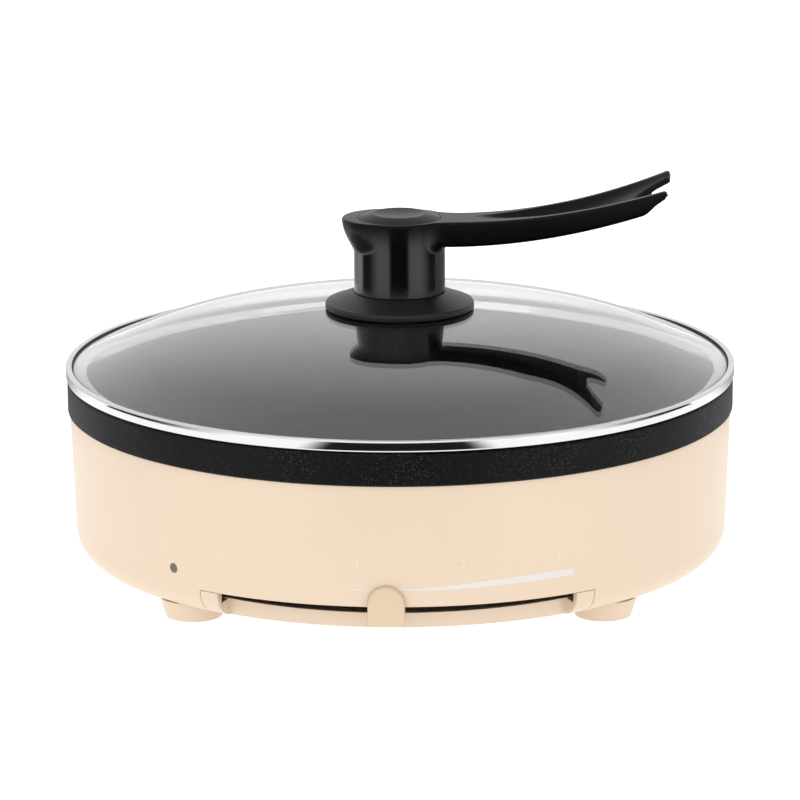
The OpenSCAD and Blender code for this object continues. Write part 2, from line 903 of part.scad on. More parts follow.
module inlet_pins() color(steel) {
    for (p = pin_places) {
        translate([p[0] - blade[0] / 2, inlet_back_y, inlet_z + p[1] - blade[2] / 2])
            cube([blade[0], inlet_back_t + blade[1], blade[2]]);
        translate([p[0] - tab[0] / 2, wire_y, inlet_z + p[1] - tab[2] / 2])
            cube([tab[0], tab[1], tab[2]]);
    }
}

module inlet_screws() color(steel) {
    for (side = [-1, 1])
        translate([side * inlet_hole, inlet_y, inlet_z])
            rotate([90, 0, 0])
                screw_up(0, short_head_r, short_head_h, short_shank_r,
                    flange_t + shell_wall + 3);
}

// Wires inside the housing

pin_at = [heater_ring * sin(leg_turn), heater_ring * cos(leg_turn)];
z_low_wire = z_shield0 - wire_r - 1.2;
wire_gap = 1;
wire_side = pin_at[0] + heater_r + leg_step + wire_r + wire_gap;
wire_bow = 6;
tab_run = 6;
fuse_run = 5;
fuse_bow = 3;
fuse_turn = 4;
z_pin_wire = z_heater - leg_len - bead_h - 2;
z_tab_wire = inlet_z - pin_low;

module wire_live() color(black) {
    wire([[-pin_pitch, wire_y, z_tab_wire], [-pin_pitch, wire_y - tab_run, z_tab_wire],
        [-wire_side, pin_at[1] + wire_bow, z_low_wire], [-wire_side, fuse_y, z_low_wire],
        [-wire_side + fuse_turn, fuse_y, fuse_z],
        [-fuse_half, fuse_y, fuse_z]]);
}

module wire_fuse() color(black) {
    wire([[fuse_half, fuse_y, fuse_z], [fuse_half + fuse_run, fuse_y, fuse_z],
        [fuse_half + fuse_run, fuse_y - fuse_bow, leaf_z + leaf_t / 2],
        [0, fuse_y - fuse_bow, leaf_z + leaf_t / 2],
        [0, -leaf_front, leaf_z + leaf_t / 2]]);
}

module wire_link() color(black) {
    wire([[0, leaf_rear, leaf_z + leaf_t / 2], [0, leaf_rear + 4, leaf_z + leaf_t / 2],
        [0, leaf_rear + 6, z_low_wire], [-pin_at[0], pin_at[1] - 14, z_pin_wire],
        [-pin_at[0], pin_at[1] - pin_r, z_pin_wire]]);
}

module wire_neutral() color(black) {
    wire([[pin_pitch, wire_y, z_tab_wire], [pin_pitch, wire_y - tab_run, z_tab_wire],
        [pin_at[0], pin_at[1] + 12, z_pin_wire], [pin_at[0], pin_at[1] + pin_r, z_pin_wire]]);
}

module wire_earth() color(brass) {
    z_tag_wire = z_under - earth_post_len - wire_r - 0.2;
    wire([[0, wire_y, inlet_z + pin_low], [0, wire_y - 3, inlet_z + pin_low],
        [earth_at[0] - earth_tag_r - 6, earth_at[1], z_tag_wire],
        [earth_at[0] - earth_tag_r - 0.3, earth_at[1], z_tag_wire]]);
}

// Control lever: hub on the spindle, a flat arm out through the slot, and the thumb tab

module d_bore(room, z0, z1) {
    difference() {
        level(spindle_r + room, z0, z1);
        translate([flat_x + room, -spindle_r - 1, z0 - 1])
            cube([spindle_r, 2 * spindle_r + 2, z1 - z0 + 2]);
    }
}

// Thumb tab's face: straight sides under a half round
module tab_face() {
    translate([-tab_w / 2, 0])
        square([tab_w, tab_h - tab_w / 2]);
    translate([0, tab_h - tab_w / 2])
        circle(tab_w / 2);
}

module control_lever() color(cream) {
    rotate([0, 0, -lever_rest])
        difference() {
            union() {
                level(hub_r, z_hub0, z_hub1);
                translate([0, 0, z_arm0])
                    linear_extrude(lever_t)
                        polygon([[-arm_w_hub / 2, 0], [-neck_w / 2, -ring_r + 8],
                            [-neck_w / 2, -tab_in - 1], [neck_w / 2, -tab_in - 1],
                            [neck_w / 2, -ring_r + 8], [arm_w_hub / 2, 0]]);
                translate([-1, -ring_r + 12, z_arm0 - 2])
                    cube([2, ring_r - 12 - hub_r + 2, 3]);
                intersection() {
                    translate([0, -tab_in + 2, z_ring1 - tab_drop])
                        rotate([90, 0, 0])
                            linear_extrude(10)
                                tab_face();
                    difference() {
                        level(tab_out, 0, z_under);
                        level(tab_in, -1, z_under + 1);
                    }
                }
            }
            d_bore(push, z_spindle0, z_hub1 + 1);
            level(short_shank_r + fit, z_hub0 - 1, z_spindle0 + 1);
        }
}

module thermostat_spindle() color(steel) {
    rotate([0, 0, -lever_rest])
        difference() {
            union() {
                d_bore(0, z_spindle0, z_hub1);
                level(spindle_r, z_hub1, z_spindle1);
            }
            level(short_shank_r + push, z_spindle0 - 1, z_spindle0 + 6.5);
        }
}

module lever_screw() color(steel) {
    screw_up(z_hub0, short_head_r, lever_head_h, short_shank_r, web_t + 6);
}

// Lid: glass held in a rolled steel rim

module lid_glass() color(glass) {
    radii = [for (i = [0 : dome_steps]) lid_bore + (glass_r - lid_bore) * i / dome_steps];
    rotate_extrude($fn = 128)
        polygon(concat([for (r = radii) [r, dome_z(r)]],
            [for (i = [dome_steps : -1 : 0]) [radii[i], dome_z(radii[i], glass_t)]]));
}

module lid_rim() color(steel) {
    round_r = 1.2;
    rotate_extrude($fn = 128) {
        intersection() {
            translate([glass_r + push, z_rim0 - 1])
                square([rim_out + 1, rim_h + 2]);
            union() {
                translate([glass_r - round_r, z_rim0])
                    square([rim_out, rim_h]);
                translate([glass_r - round_r, z_rim0 + round_r])
                    square([rim_out + round_r, rim_h - 2 * round_r]);
                for (z = [z_rim0 + round_r, z_rim1 - round_r])
                    translate([lid_r - round_r, z])
                        circle(round_r);
            }
        }
        polygon([[glass_r - rim_lap, dome_z(glass_r - rim_lap) + push],
            [glass_r + 2 * push, dome_z(glass_r) + push],
            [glass_r + 2 * push, dome_z(glass_r) + push + rim_sheet],
            [glass_r - rim_lap, dome_z(glass_r - rim_lap) + push + rim_sheet]]);
        translate([mouth_r - 2.5, z_rim0])
            square([glass_r - mouth_r + 2.5 + 2 * push, rim_sheet]);
        translate([mouth_r - 2.5, z_rim0 - 3.5])
            square([rim_sheet + 0.1, 3.5 + rim_sheet]);
    }
}

// Handle: disc, column, leaning head and forked arm

module handle_flange() color(black) {
    edge_r = flange_edge / 2;
    rotate_extrude()
        difference() {
            union() {
                polygon([[0, z_flange0], [flange_r - edge_r, z_flange0],
                    [flange_r - edge_r, z_flange0 + flange_edge], [column_r + 0.4, z_column0],
                    [0, z_column0]]);
                translate([flange_r - edge_r, z_flange0 + edge_r])
                    circle(edge_r);
            }
            translate([0, z_flange0 - 5])
                square([seal_r + push, z_seal1 - z_flange0 + 5]);
            translate([0, z_flange0 - 5])
                square([lid_shank_r + fit, 40]);
            under_dome(seal_r - 1, flange_r + 1, z_flange0 - 5, 0, flange_gap);
        }
}

// Half profile between a level and the glass, at a depth in it and with some room
module under_dome(r0, r1, z, depth, room) {
    steps = 8;
    polygon(concat(
        [for (i = [0 : steps]) let (r = r0 + (r1 - r0) * i / steps) [r, dome_z(r, depth) + room]],
        [[r1, z], [r0, z]]));
}

module handle_seal() color(rubber) {
    rotate_extrude()
        under_dome(lid_shank_r + fit, seal_r, z_seal1, 0, push);
}

// Loft of the arm: a grid of points on its top and on its underside, joined at the rims
module arm_loft() {
    cols = arm_cols + 1;
    rows = arm_steps + 1;
    side = cols * rows;
    top = [for (i = [0 : arm_steps], j = [0 : arm_cols])
        let (s = station(i), y = column(i, j)) [s, y, arm_top(s) - trough(s, y)]];
    low = [for (i = [0 : arm_steps], j = [0 : arm_cols])
        let (s = station(i)) [s, column(i, j), arm_top(s) - arm_thick(s)]];
    skin = [for (i = [0 : arm_steps - 1], j = [0 : arm_cols - 1])
        let (a = i * cols + j, b = a + 1, c = a + cols, d = c + 1)
        each [[a, b, d], [a, d, c], [side + a, side + d, side + b], [side + a, side + c, side + d]]];
    walls = [for (i = [0 : arm_steps - 1], j = [0, arm_cols])
        let (a = i * cols + j, c = a + cols)
        each (j == 0
            ? [[a, c, side + c], [a, side + c, side + a]]
            : [[a, side + c, c], [a, side + a, side + c]])];
    ends = [for (j = [0 : arm_cols - 1], i = [0, arm_steps])
        let (a = i * cols + j, b = a + 1)
        each (i == 0
            ? [[a, side + b, b], [a, side + a, side + b]]
            : [[a, b, side + b], [a, side + b, side + a]])];
    polyhedron(concat(top, low), concat(skin, walls, ends), convexity = 6);
}

// The tail's slanted end under its blunt tips, the tips' outer corners, and the notch between the prongs
module tail_cuts() {
    translate([arm_len, 0, arm_top(arm_len) - tail_blunt])
        rotate([0, tail_slant, 0]) {
            translate([0, -arm_tip_w, -60])
                cube([40, 2 * arm_tip_w, 120]);
            translate([notch_r - notch_in * cos(tail_slant), 0, -60])
                cylinder(r = notch_r, h = 120);
            for (side = [-1, 1])
                translate([0, side * arm_tip_w / 2, 0])
                    rotate([0, 0, side * 45])
                        translate([-tip_corner * sin(45), -20, -60])
                            cube([20, 40, 120]);
        }
}

module lid_handle() color(black) {
    lean = atan(head_lean / head_h);
    rotate([0, 0, -handle_turn])
        difference() {
            union() {
                level(column_r, z_column0, z_head1);
                intersection() {
                    translate([head_round - column_r, 0, z_head0])
                        rotate([0, -lean, 0])
                            translate([0, 0, -20])
                                cylinder(r = head_round, h = head_h + 60);
                    translate([-100, -100, z_head0])
                        cube([200, 200, head_h]);
                }
                difference() {
                    arm_loft();
                    tail_cuts();
                }
            }
            level(cap_r + fit, z_head1 - cap_seat, z_head1 + 10);
            level(insert_r + push, z_column0 - 1, z_column0 + insert_len);
            level(lid_shank_r + fit, z_column0, z_column0 + insert_len + 4);
            level(peg_r + push, z_head1 - cap_seat - peg_len - 0.5, z_head1);
        }
}

// Round cap with a crowned rim and a shallow dish
module handle_cap() color(black) {
    z_cap0 = z_head1 - cap_seat;
    dish_r = cap_r * 0.65;
    dish_sink = 1.1;
    z_dish = z_head1 + cap_rise * (1 - pow(dish_r / cap_r, 2)) - dish_sink;
    steps = 6;
    crown = [for (i = [0 : steps]) let (r = cap_r + (dish_r - cap_r) * i / steps)
        [r, z_head1 + cap_rise * (1 - pow(r / cap_r, 2))]];
    dish = [for (i = [1 : steps - 1]) let (share = 1 - i / steps)
        [dish_r * share, z_dish + dish_sink * share * share]];
    rotate_extrude()
        polygon(concat([[0, z_cap0 - peg_len], [peg_r, z_cap0 - peg_len], [peg_r, z_cap0],
            [cap_r, z_cap0]], crown, dish, [[0, dish[steps - 2][1]]]));
}

module handle_insert() color(brass) {
    difference() {
        level(insert_r, z_column0, z_column0 + insert_len);
        level(lid_shank_r + push, z_column0 - 1, z_column0 + insert_len + 1);
    }
}

module lid_clamp() color(black) {
    rotate_extrude()
        under_dome(lid_shank_r + fit, clamp_r, dome_z(0, glass_t) - clamp_t, glass_t, -push);
}

module lid_screw() color(steel) {
    z_head = dome_z(0, glass_t) - clamp_t;
    screw_up(z_head, lid_head_r, lid_head_h, lid_shank_r, z_column0 + insert_len - 1 - z_head);
}

shell();
base_plate();
foot_pad(0);  // foot_pad_fl
foot_pad(1);  // foot_pad_fr
foot_pad(2);  // foot_pad_rl
foot_pad(3);  // foot_pad_rr
base_screws();
pan();
pan_gasket();
heater();
heater_beads();
heat_shield();
shield_screws();
thermostat_bracket();
thermostat_screws();
thermostat_body();
thermostat_bush();
thermostat_leaves();
thermal_fuse();
fuse_clip();
fuse_screw();
indicator_lens();
indicator_lamp();
power_inlet();
inlet_pins();
inlet_screws();
earth_tag();
earth_screw();
wire_live();
wire_fuse();
wire_link();
wire_neutral();
wire_earth();
control_lever();
thermostat_spindle();
lever_screw();
lid_glass();
lid_rim();
handle_flange();
handle_seal();
lid_handle();
handle_cap();
handle_insert();
lid_clamp();
lid_screw();
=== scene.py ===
"""Looks of the electric skillet: smooth forms, finishes, printed scale, studio and camera.

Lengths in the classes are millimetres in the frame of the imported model: Z = 0 is the worktop,
-Y is the front and +X is the side that the handle points to.
"""

import json
import logging
import math
from dataclasses import dataclass, replace
from enum import Enum
from typing import Any, Iterable, Sequence, Union

import bmesh
import bpy
from mathutils import Matrix, Vector
from mathutils.kdtree import KDTree

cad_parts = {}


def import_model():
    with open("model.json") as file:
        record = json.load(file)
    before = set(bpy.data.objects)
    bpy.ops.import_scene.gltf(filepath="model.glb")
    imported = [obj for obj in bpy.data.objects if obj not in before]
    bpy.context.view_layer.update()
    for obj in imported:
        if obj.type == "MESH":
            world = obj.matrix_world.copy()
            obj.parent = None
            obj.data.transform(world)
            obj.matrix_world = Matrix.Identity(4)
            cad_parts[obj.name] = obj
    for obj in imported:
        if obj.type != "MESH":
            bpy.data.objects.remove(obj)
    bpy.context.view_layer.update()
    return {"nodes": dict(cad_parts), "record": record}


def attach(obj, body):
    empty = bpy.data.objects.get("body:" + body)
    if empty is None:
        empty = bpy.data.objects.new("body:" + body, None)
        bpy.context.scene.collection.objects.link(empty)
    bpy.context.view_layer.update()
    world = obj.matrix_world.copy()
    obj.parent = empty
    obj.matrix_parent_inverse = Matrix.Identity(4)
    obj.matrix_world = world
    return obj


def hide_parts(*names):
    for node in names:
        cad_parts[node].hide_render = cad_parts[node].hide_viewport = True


LOG = logging.getLogger("skillet")
MM = 0.001
Colour = tuple[float, float, float]
Point2 = tuple[float, float]
Point3 = tuple[float, float, float]
Corner = tuple[float, float, float]


class Body(Enum):
    """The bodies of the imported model."""

    BASE = "base"
    CONTROL = "control"
    LID = "lid"


class Slot(Enum):
    """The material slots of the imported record."""

    CREAM = "cream_plastic"
    COAT = "coated_aluminium"
    BLACK = "black_plastic"
    INLET = "inlet_plastic"
    POLISHED = "polished_steel"
    STEEL = "plain_steel"
    BRASS = "brass"
    SILICONE = "silicone"
    SEAL = "black_silicone"
    CERAMIC = "ceramic"
    GLASS = "lid_glass"
    LENS = "lens"
    WIRE = "wire_jacket"


class Meeting(Enum):
    """What becomes of two solids that meet."""

    UNITED = "UNION"
    CUT = "DIFFERENCE"


# Node trees


class Sock:
    """An output of a node, with arithmetic that adds Math nodes to its tree."""

    def __init__(self, graph: "Graph", socket: bpy.types.NodeSocket) -> None:
        """Keeps the tree and the socket."""
        self.graph = graph
        self.socket = socket

    def of(self, name: str) -> "Sock":
        """Another output of the same node."""
        return Sock(self.graph, self.socket.node.outputs[name])

    def math(self, operation: str, *values: "Value") -> "Sock":
        """Adds a Math node with its inputs in order."""
        return self.graph.node("ShaderNodeMath", {"operation": operation}, dict(enumerate(values)))

    def __add__(self, other: "Value") -> "Sock":
        """Sum."""
        return self.math("ADD", self, other)

    __radd__ = __add__

    def __sub__(self, other: "Value") -> "Sock":
        """Difference."""
        return self.math("SUBTRACT", self, other)

    def __rsub__(self, other: "Value") -> "Sock":
        """Difference from a number."""
        return self.math("SUBTRACT", other, self)

    def __mul__(self, other: "Value") -> "Sock":
        """Product."""
        return self.math("MULTIPLY", self, other)

    __rmul__ = __mul__

    def __truediv__(self, other: "Value") -> "Sock":
        """Quotient."""
        return self.math("DIVIDE", self, other)

    def __rtruediv__(self, other: "Value") -> "Sock":
        """Quotient of a number."""
        return self.math("DIVIDE", other, self)

    def floor(self) -> "Sock":
        """Whole part."""
        return self.math("FLOOR", self)

    def modulo(self, other: "Value") -> "Sock":
        """Remainder."""
        return self.math("MODULO", self, other)

    def cos(self) -> "Sock":
        """Cosine."""
        return self.math("COSINE", self)

    def sin(self) -> "Sock":
        """Sine."""
        return self.math("SINE", self)

    def root(self) -> "Sock":
        """Square root."""
        return self.math("SQRT", self)

    def between(self, low: float, high: float) -> "Sock":
        """Smooth step from 0 at low to 1 at high."""
        sockets = {"Value": self, "From Min": low, "From Max": high}
        return self.graph.node("ShaderNodeMapRange", {"interpolation_type": "SMOOTHSTEP"}, sockets)


Value = Union[Sock, float, int, Sequence[float]]


class Graph:
    """A node tree that is being built."""

    def __init__(self, tree: bpy.types.NodeTree) -> None:
        """Keeps the tree."""
        self.tree = tree

    def node(
        self,
        kind: str,
        settings: dict[str, Any] | None = None,
        sockets: dict[Any, Value] | None = None,
        out: int | str = 0,
    ) -> Sock | None:
        """Adds a node.

        Args:
            kind: The node's type.
            settings: Its properties, set before its sockets.
            sockets: Values or links of its inputs, by name or number.
            out: The output that is given back.

        Returns:
            That output, or None for a node that has none.
        """
        made = self.tree.nodes.new(kind)
        for name, value in (settings or {}).items():
            setattr(made, name, value)
        for key, value in (sockets or {}).items():
            if isinstance(value, Sock):
                self.tree.links.new(value.socket, made.inputs[key])
            else:
                made.inputs[key].default_value = value
        return Sock(self, made.outputs[out]) if made.outputs else None

    def place(self) -> Sock:
        """Object coordinates, in metres."""
        return self.node("ShaderNodeTexCoord", out="Object")

    def split(self, vector: Sock) -> tuple[Sock, Sock, Sock]:
        """The three parts of a vector."""
        parts = self.node("ShaderNodeSeparateXYZ", {}, {"Vector": vector})
        return parts, parts.of("Y"), parts.of("Z")

    def noise(self, at: Sock, size: float, detail: float = 2.0) -> Sock:
        """Noise whose blobs are about size millimetres across."""
        sockets = {"Vector": at, "Scale": 1 / (size * MM), "Detail": detail}
        return self.node("ShaderNodeTexNoise", {}, sockets)

    def blend(self, share: Value, first: Value, second: Value) -> Sock:
        """Mixes two colours."""
        sockets = {0: share, 6: self.colour(first), 7: self.colour(second)}
        return self.node("ShaderNodeMix", {"data_type": "RGBA"}, sockets, 2)

    def toned(self, share: Value, colour: Colour, tones: Point2) -> Sock:
        """Mixes a darker and a lighter tone of one colour."""
        return self.blend(share, *(scaled(colour, tone) for tone in tones))

    @staticmethod
    def colour(value: Value) -> Value:
        """Adds the fourth number to a plain colour."""
        return value if isinstance(value, Sock) else (*value, 1.0)

    def bump(self, height: Sock, depth: float) -> Sock:
        """Bump normal of a height field that is depth millimetres high."""
        return self.node("ShaderNodeBump", {}, {"Distance": depth * MM, "Height": height}, "Normal")


# Finishes


def scaled(colour: Colour, share: float) -> Colour:
    """A colour made lighter or darker."""
    return tuple(min(1.0, c * share) for c in colour)


@dataclass(frozen=True)
class Finish:
    """A surface finish, shaded on one Principled node."""

    name: str

    def shade(self, g: Graph) -> dict[str, Value]:
        """Gives the Principled node's inputs.

        Args:
            g: The material's tree.

        Returns:
            Values or links by input name.
        """
        raise NotImplementedError

    def material(self) -> bpy.types.Material:
        """Makes the material the first time, and gives the same one after that.

        Returns:
            The material.
        """
        made = bpy.data.materials.get("finish_" + self.name)
        if made is None:
            made = bpy.data.materials.new("finish_" + self.name)
            made.use_nodes = True
            made.node_tree.nodes.clear()
            g = Graph(made.node_tree)
            surface = g.node("ShaderNodeBsdfPrincipled", {}, self.shade(g), "BSDF")
            g.node("ShaderNodeOutputMaterial", {}, {"Surface": surface})
        return made


@dataclass(frozen=True)
class Moulded(Finish):
    """Plastic, rubber or ceramic with a fine grain and a faint mottle."""

    colour: Colour
    roughness: float = 0.4
    grain: float = 0.3
    depth: float = 0.004
    mottle: float = 0.02
    spread: float = 0.1
    coat: float = 0.0
    gloss: float = 0.5
    glow: float = 0.0
    coat_rough: float = 0.12
    patch: float = 30.0
    patch_share: float = 0.7

    def shade(self, g: Graph) -> dict[str, Value]:
        """Puts grain in the bump, mottle in the colour and both in the roughness.

        Args:
            g: The material's tree.

        Returns:
            Values or links by input name.
        """
        at = g.place()
        fine, broad = g.noise(at, self.grain), g.noise(at, self.patch, 3.0)
        mixed = broad * self.patch_share + fine * (1 - self.patch_share)
        return {
            "Base Color": g.toned(mixed, self.colour, (1 - self.mottle, 1 + self.mottle)),
            "Roughness": self.roughness + (fine - 0.5) * self.spread + (broad - 0.5) * self.spread,
            "Normal": g.bump(fine, self.depth),
            "Specular IOR Level": self.gloss,
            "Coat Weight": self.coat,
            "Coat Roughness": self.coat_rough,
            "Emission Color": (*self.colour, 1.0),
            "Emission Strength": self.glow,
        }


@dataclass(frozen=True)
class PolishedToSatin(Moulded):
    """Moulded piece, polished low down near the axis and satin above and outside."""

    level: float = 164.6
    fade_down: float = 12.0
    reach: float = 19.0
    fade_in: float = 7.0
    dull: float = 0.16

    def shade(self, g: Graph) -> dict[str, Value]:
        """Lays the polish on as a clear coat that fades out.

        Args:
            g: The material's tree.

        Returns:
            Values or links by input name.
        """
        inputs = super().shade(g)
        x, _, z = g.split(g.place())
        above = z.between((self.level - self.fade_down) * MM, self.level * MM)
        outside = x.between((self.reach - self.fade_in) * MM, self.reach * MM)
        satin = 1 - (1 - above) * (1 - outside)
        inputs["Coat Weight"] = (1 - satin) * self.coat
        inputs["Roughness"] = inputs["Roughness"] + satin * self.dull
        return inputs


@dataclass(frozen=True)
class Speckled(Finish):
    """Non-stick coat: a dark crinkled film with small bright flecks."""

    film: Colour
    fleck: Colour
    cell: float = 0.9
    crinkle: float = 1.1
    depth: float = 0.05
    grain: float = 0.25
    fleck_edge: Point2 = (0.14, 0.34)
    picked: Point2 = (0.55, 0.8)
    patch: float = 28.0
    patch_edge: Point2 = (0.36, 0.66)
    sparse: float = 0.25
    tones: Point2 = (0.6, 1.5)
    roughness: float = 0.5
    spread: float = 0.2
    polish: float = 0.16
    bare: float = 0.6
    gloss: float = 0.1
    grain_share: float = 0.3

    def shade(self, g: Graph) -> dict[str, Value]:
        """Sets flecks in some of the cells of a cell pattern.

        Args:
            g: The material's tree.

        Returns:
            Values or links by input name.
        """
        at = g.place()
        cells = g.node("ShaderNodeTexVoronoi", {}, {"Vector": at, "Scale": 1 / (self.cell * MM)})
        pick = g.node("ShaderNodeSeparateColor", {}, {"Color": cells.of("Color")})
        patch = g.noise(at, self.patch).between(*self.patch_edge)
        spots = (1 - cells.between(*self.fleck_edge)) * pick.between(*self.picked)
        flecks = spots * (patch * (1 - self.sparse) + self.sparse)
        rough, fine = g.noise(at, self.crinkle, 3.0), g.noise(at, self.grain)
        return {
            "Base Color": g.blend(flecks, g.toned(rough, self.film, self.tones), self.fleck),
            "Roughness": self.roughness + (fine - 0.5) * self.spread - flecks * self.polish,
            "Metallic": flecks * self.bare,
            "Specular IOR Level": self.gloss,
            "Normal": g.bump(rough + fine * self.grain_share, self.depth),
        }


@dataclass(frozen=True)
class TurnedMetal(Finish):
    """Metal with fine lines round the Z axis."""

    colour: Colour
    roughness: float = 0.07
    line: float = 0.12
    depth: float = 0.0012
    drift: Point2 = (18.0, 11.0)
    patch: float = 22.0
    tones: Point2 = (0.9, 1.06)
    spread: Point2 = (0.1, 0.06)

    def shade(self, g: Graph) -> dict[str, Value]:
        """Runs the lines with the distance from the axis and the height.

        Args:
            g: The material's tree.

        Returns:
            Values or links by input name.
        """
        at = g.place()
        x, y, z = g.split(at)
        tight = 1 / (self.line * MM)
        drift = x * self.drift[0] + y * self.drift[1]
        sockets = {"X": (x * x + y * y).root() * tight, "Y": z * tight, "Z": drift}
        lines = g.node("ShaderNodeCombineXYZ", {}, sockets)
        streak = g.node("ShaderNodeTexNoise", {}, {"Vector": lines, "Scale": 1.0, "Detail": 3.0})
        broad = g.noise(at, self.patch)
        return {
            "Base Color": g.toned(streak, self.colour, self.tones),
            "Metallic": 1.0,
            "Roughness": self.roughness + (streak - 0.5) * self.spread[0] + (broad - 0.5) * self.spread[1],
            "Normal": g.bump(streak, self.depth),
        }


@dataclass(frozen=True)
class PressedMetal(Finish):
    """Sheet or turned metal of the inner works, slightly stained."""

    colour: Colour
    roughness: float = 0.32
    stain: float = 6.0
    scratch: float = 0.3
    depth: float = 0.006
    tones: Point2 = (0.82, 1.08)
    spread: Point2 = (0.2, 0.12)

    def shade(self, g: Graph) -> dict[str, Value]:
        """Puts stains in the colour and scratches in the roughness.

        Args:
            g: The material's tree.

        Returns:
            Values or links by input name.
        """
        at = g.place()
        stain, fine = g.noise(at, self.stain, 4.0), g.noise(at, self.scratch)
        return {
            "Base Color": g.toned(stain, self.colour, self.tones),
            "Metallic": 1.0,
            "Roughness": self.roughness + (fine - 0.5) * self.spread[0] + (stain - 0.5) * self.spread[1],
            "Normal": g.bump(fine, self.depth),
        }


@dataclass(frozen=True)
class ClearGlass(Finish):
    """Tempered glass with a breath of haze."""

    tint: Colour
    haze: float = 0.015
    patch: float = 40.0
    bending: float = 1.5

    def shade(self, g: Graph) -> dict[str, Value]:
        """Puts the haze in the tint alone, so that the glass stays sharp.

        Args:
            g: The material's tree.

        Returns:
            Values or links by input name.
        """
        haze = g.noise(g.place(), self.patch, 4.0)
        return {
            "Base Color": g.toned(haze, self.tint, (1 - self.haze, 1 + self.haze)),
            "Roughness": 0.0,
            "IOR": self.bending,
            "Transmission Weight": 1.0,
        }


@dataclass(frozen=True)
class Braided(Finish):
    """Woven sleeve of the inner wires."""

    colour: Colour
    weave: float = 5200.0
    strand: Point2 = (-0.6, 0.7)
    tones: Point2 = (0.7, 1.0)
    roughness: float = 0.85
    shine: float = 0.15
    depth: float = 0.08

    def shade(self, g: Graph) -> dict[str, Value]:
        """Crosses two slanted bands on the sleeve.

        Args:
            g: The material's tree.

        Returns:
            Values or links by input name.
        """
        x, y, z = g.split(g.place())
        bands = ((x + y + z) * self.weave).sin() * ((x - y + z) * self.weave).sin()
        tone = bands.between(*self.strand)
        return {
            "Base Color": g.toned(tone, self.colour, self.tones),
            "Roughness": self.roughness - tone * self.shine,
            "Normal": g.bump(tone, self.depth),
        }


@dataclass(frozen=True)
class Faded(Finish):
    """Card stock that runs from the floor's tone to a darker one by the angle from the front."""

    pale_at: float
    dark_at: float
    dark: float = 0.008
    pale: float = 0.84
    glow: float = 0.62

    def shade(self, g: Graph) -> dict[str, Value]:
        """Takes the angle alike to both sides.

        Args:
            g: The material's tree.

        Returns:
            Values or links by input name.
        """
        x, y, _ = g.split(g.place())
        turn = x.math("ABSOLUTE", x.math("ARCTAN2", x, 0 - y))
        share = turn.between(math.radians(self.pale_at), math.radians(self.dark_at))
        tone = g.blend(share, (self.pale,) * 3, (self.dark,) * 3)
        return {
            "Base Color": tone,
            "Roughness": 0.8,
            "Specular IOR Level": 0.0,
            "Emission Color": tone,
            "Emission Strength": self.glow,
        }


CREAM = Moulded("cream", (0.64, 0.513, 0.388), 0.38, 0.35, 0.004, 0.012, 0.08)
# Darker copy of the cream for the lever and its tab: painted shade, the same plastic made darker where
# less light falls on the tab.
SHADED_TAB_CREAM = replace(CREAM, name="tab_cream_painted_shade", colour=(0.59, 0.455, 0.318))
BLACK = (0.0016, 0.0016, 0.0017)
GLOSS_BLACK = PolishedToSatin("gloss_black", BLACK, 0.15, 0.5, 0.002, 0.2, 0.06, 0.8, 0.1)
SATIN_BLACK = Moulded("satin_black", (0.004, 0.004, 0.0042), 0.42, 0.5, 0.006, 0.2, 0.08, gloss=0.3)
INK = Moulded("scale_ink", (0.635, 0.6, 0.572), 0.5, 0.2, 0.002, 0.05)
FAINT_INK = Moulded("faint_ink", (0.68, 0.6, 0.515), 0.5, 0.2, 0.002, 0.05)
FLOOR = Moulded("pale_floor", (0.6, 0.6, 0.6), 0.7, 2.0, 0.01, 0.004, gloss=0.0, glow=1.3)
FINISHES: dict[Slot, Finish] = {
    Slot.CREAM: CREAM,
    Slot.COAT: Speckled("speckled_coat", (0.0036, 0.0036, 0.0038), (0.13, 0.13, 0.132), 0.62),
    Slot.BLACK: GLOSS_BLACK,
    Slot.INLET: Moulded("inlet_black", (0.014, 0.014, 0.015), 0.5, 0.4, 0.012, 0.2),
    Slot.POLISHED: TurnedMetal("rolled_steel", (0.64, 0.64, 0.645)),
    Slot.STEEL: PressedMetal("pressed_steel", (0.56, 0.56, 0.57)),
    Slot.BRASS: PressedMetal("brass", (0.72, 0.52, 0.22), 0.28),
    Slot.SILICONE: Moulded("grey_silicone", (0.34, 0.335, 0.32), 0.7, 0.5, 0.02, 0.08),
    Slot.SEAL: Moulded("black_silicone", (0.012, 0.012, 0.012), 0.62, 0.5, 0.02, 0.2),
    Slot.CERAMIC: Moulded("ceramic", (0.76, 0.72, 0.62), 0.55, 0.6, 0.015, 0.06),
    Slot.GLASS: ClearGlass("lid_glass", (0.93, 0.955, 0.95)),
    Slot.LENS: Moulded("smoky_lens", (0.10, 0.075, 0.05), 0.16, 0.4, 0.002, 0.15, 0.05, 0.2),
    Slot.WIRE: Braided("wire_sleeve", (0.66, 0.62, 0.52)),
}


# Meshes


def eased(value: float) -> float:
    """Smooth step from 0 to 1."""
    share = min(1.0, max(0.0, value))
    return share * share * (3 - 2 * share)


def object_of(name: str, data: bpy.types.ID) -> bpy.types.Object:
    """Puts a mesh, text, light or camera in the scene, at the origin.

    Args:
        name: The object's name.
        data: What the object shows.

    Returns:
        The object.
    """
    made = bpy.data.objects.new(name, data)
    bpy.context.scene.collection.objects.link(made)
    return made


def mesh_of(
    name: str, points: Iterable[Sequence[float]], faces: Iterable[Sequence[int]] = ()
) -> bpy.types.Mesh:
    """Makes a mesh from points in millimetres.

    Args:
        name: The mesh's name.
        points: The vertices.
        faces: Their numbers, face by face.

    Returns:
        The mesh, in metres.
    """
    mesh = bpy.data.meshes.new(name)
    mesh.from_pydata([Vector(p) * MM for p in points], [], list(faces))
    return mesh


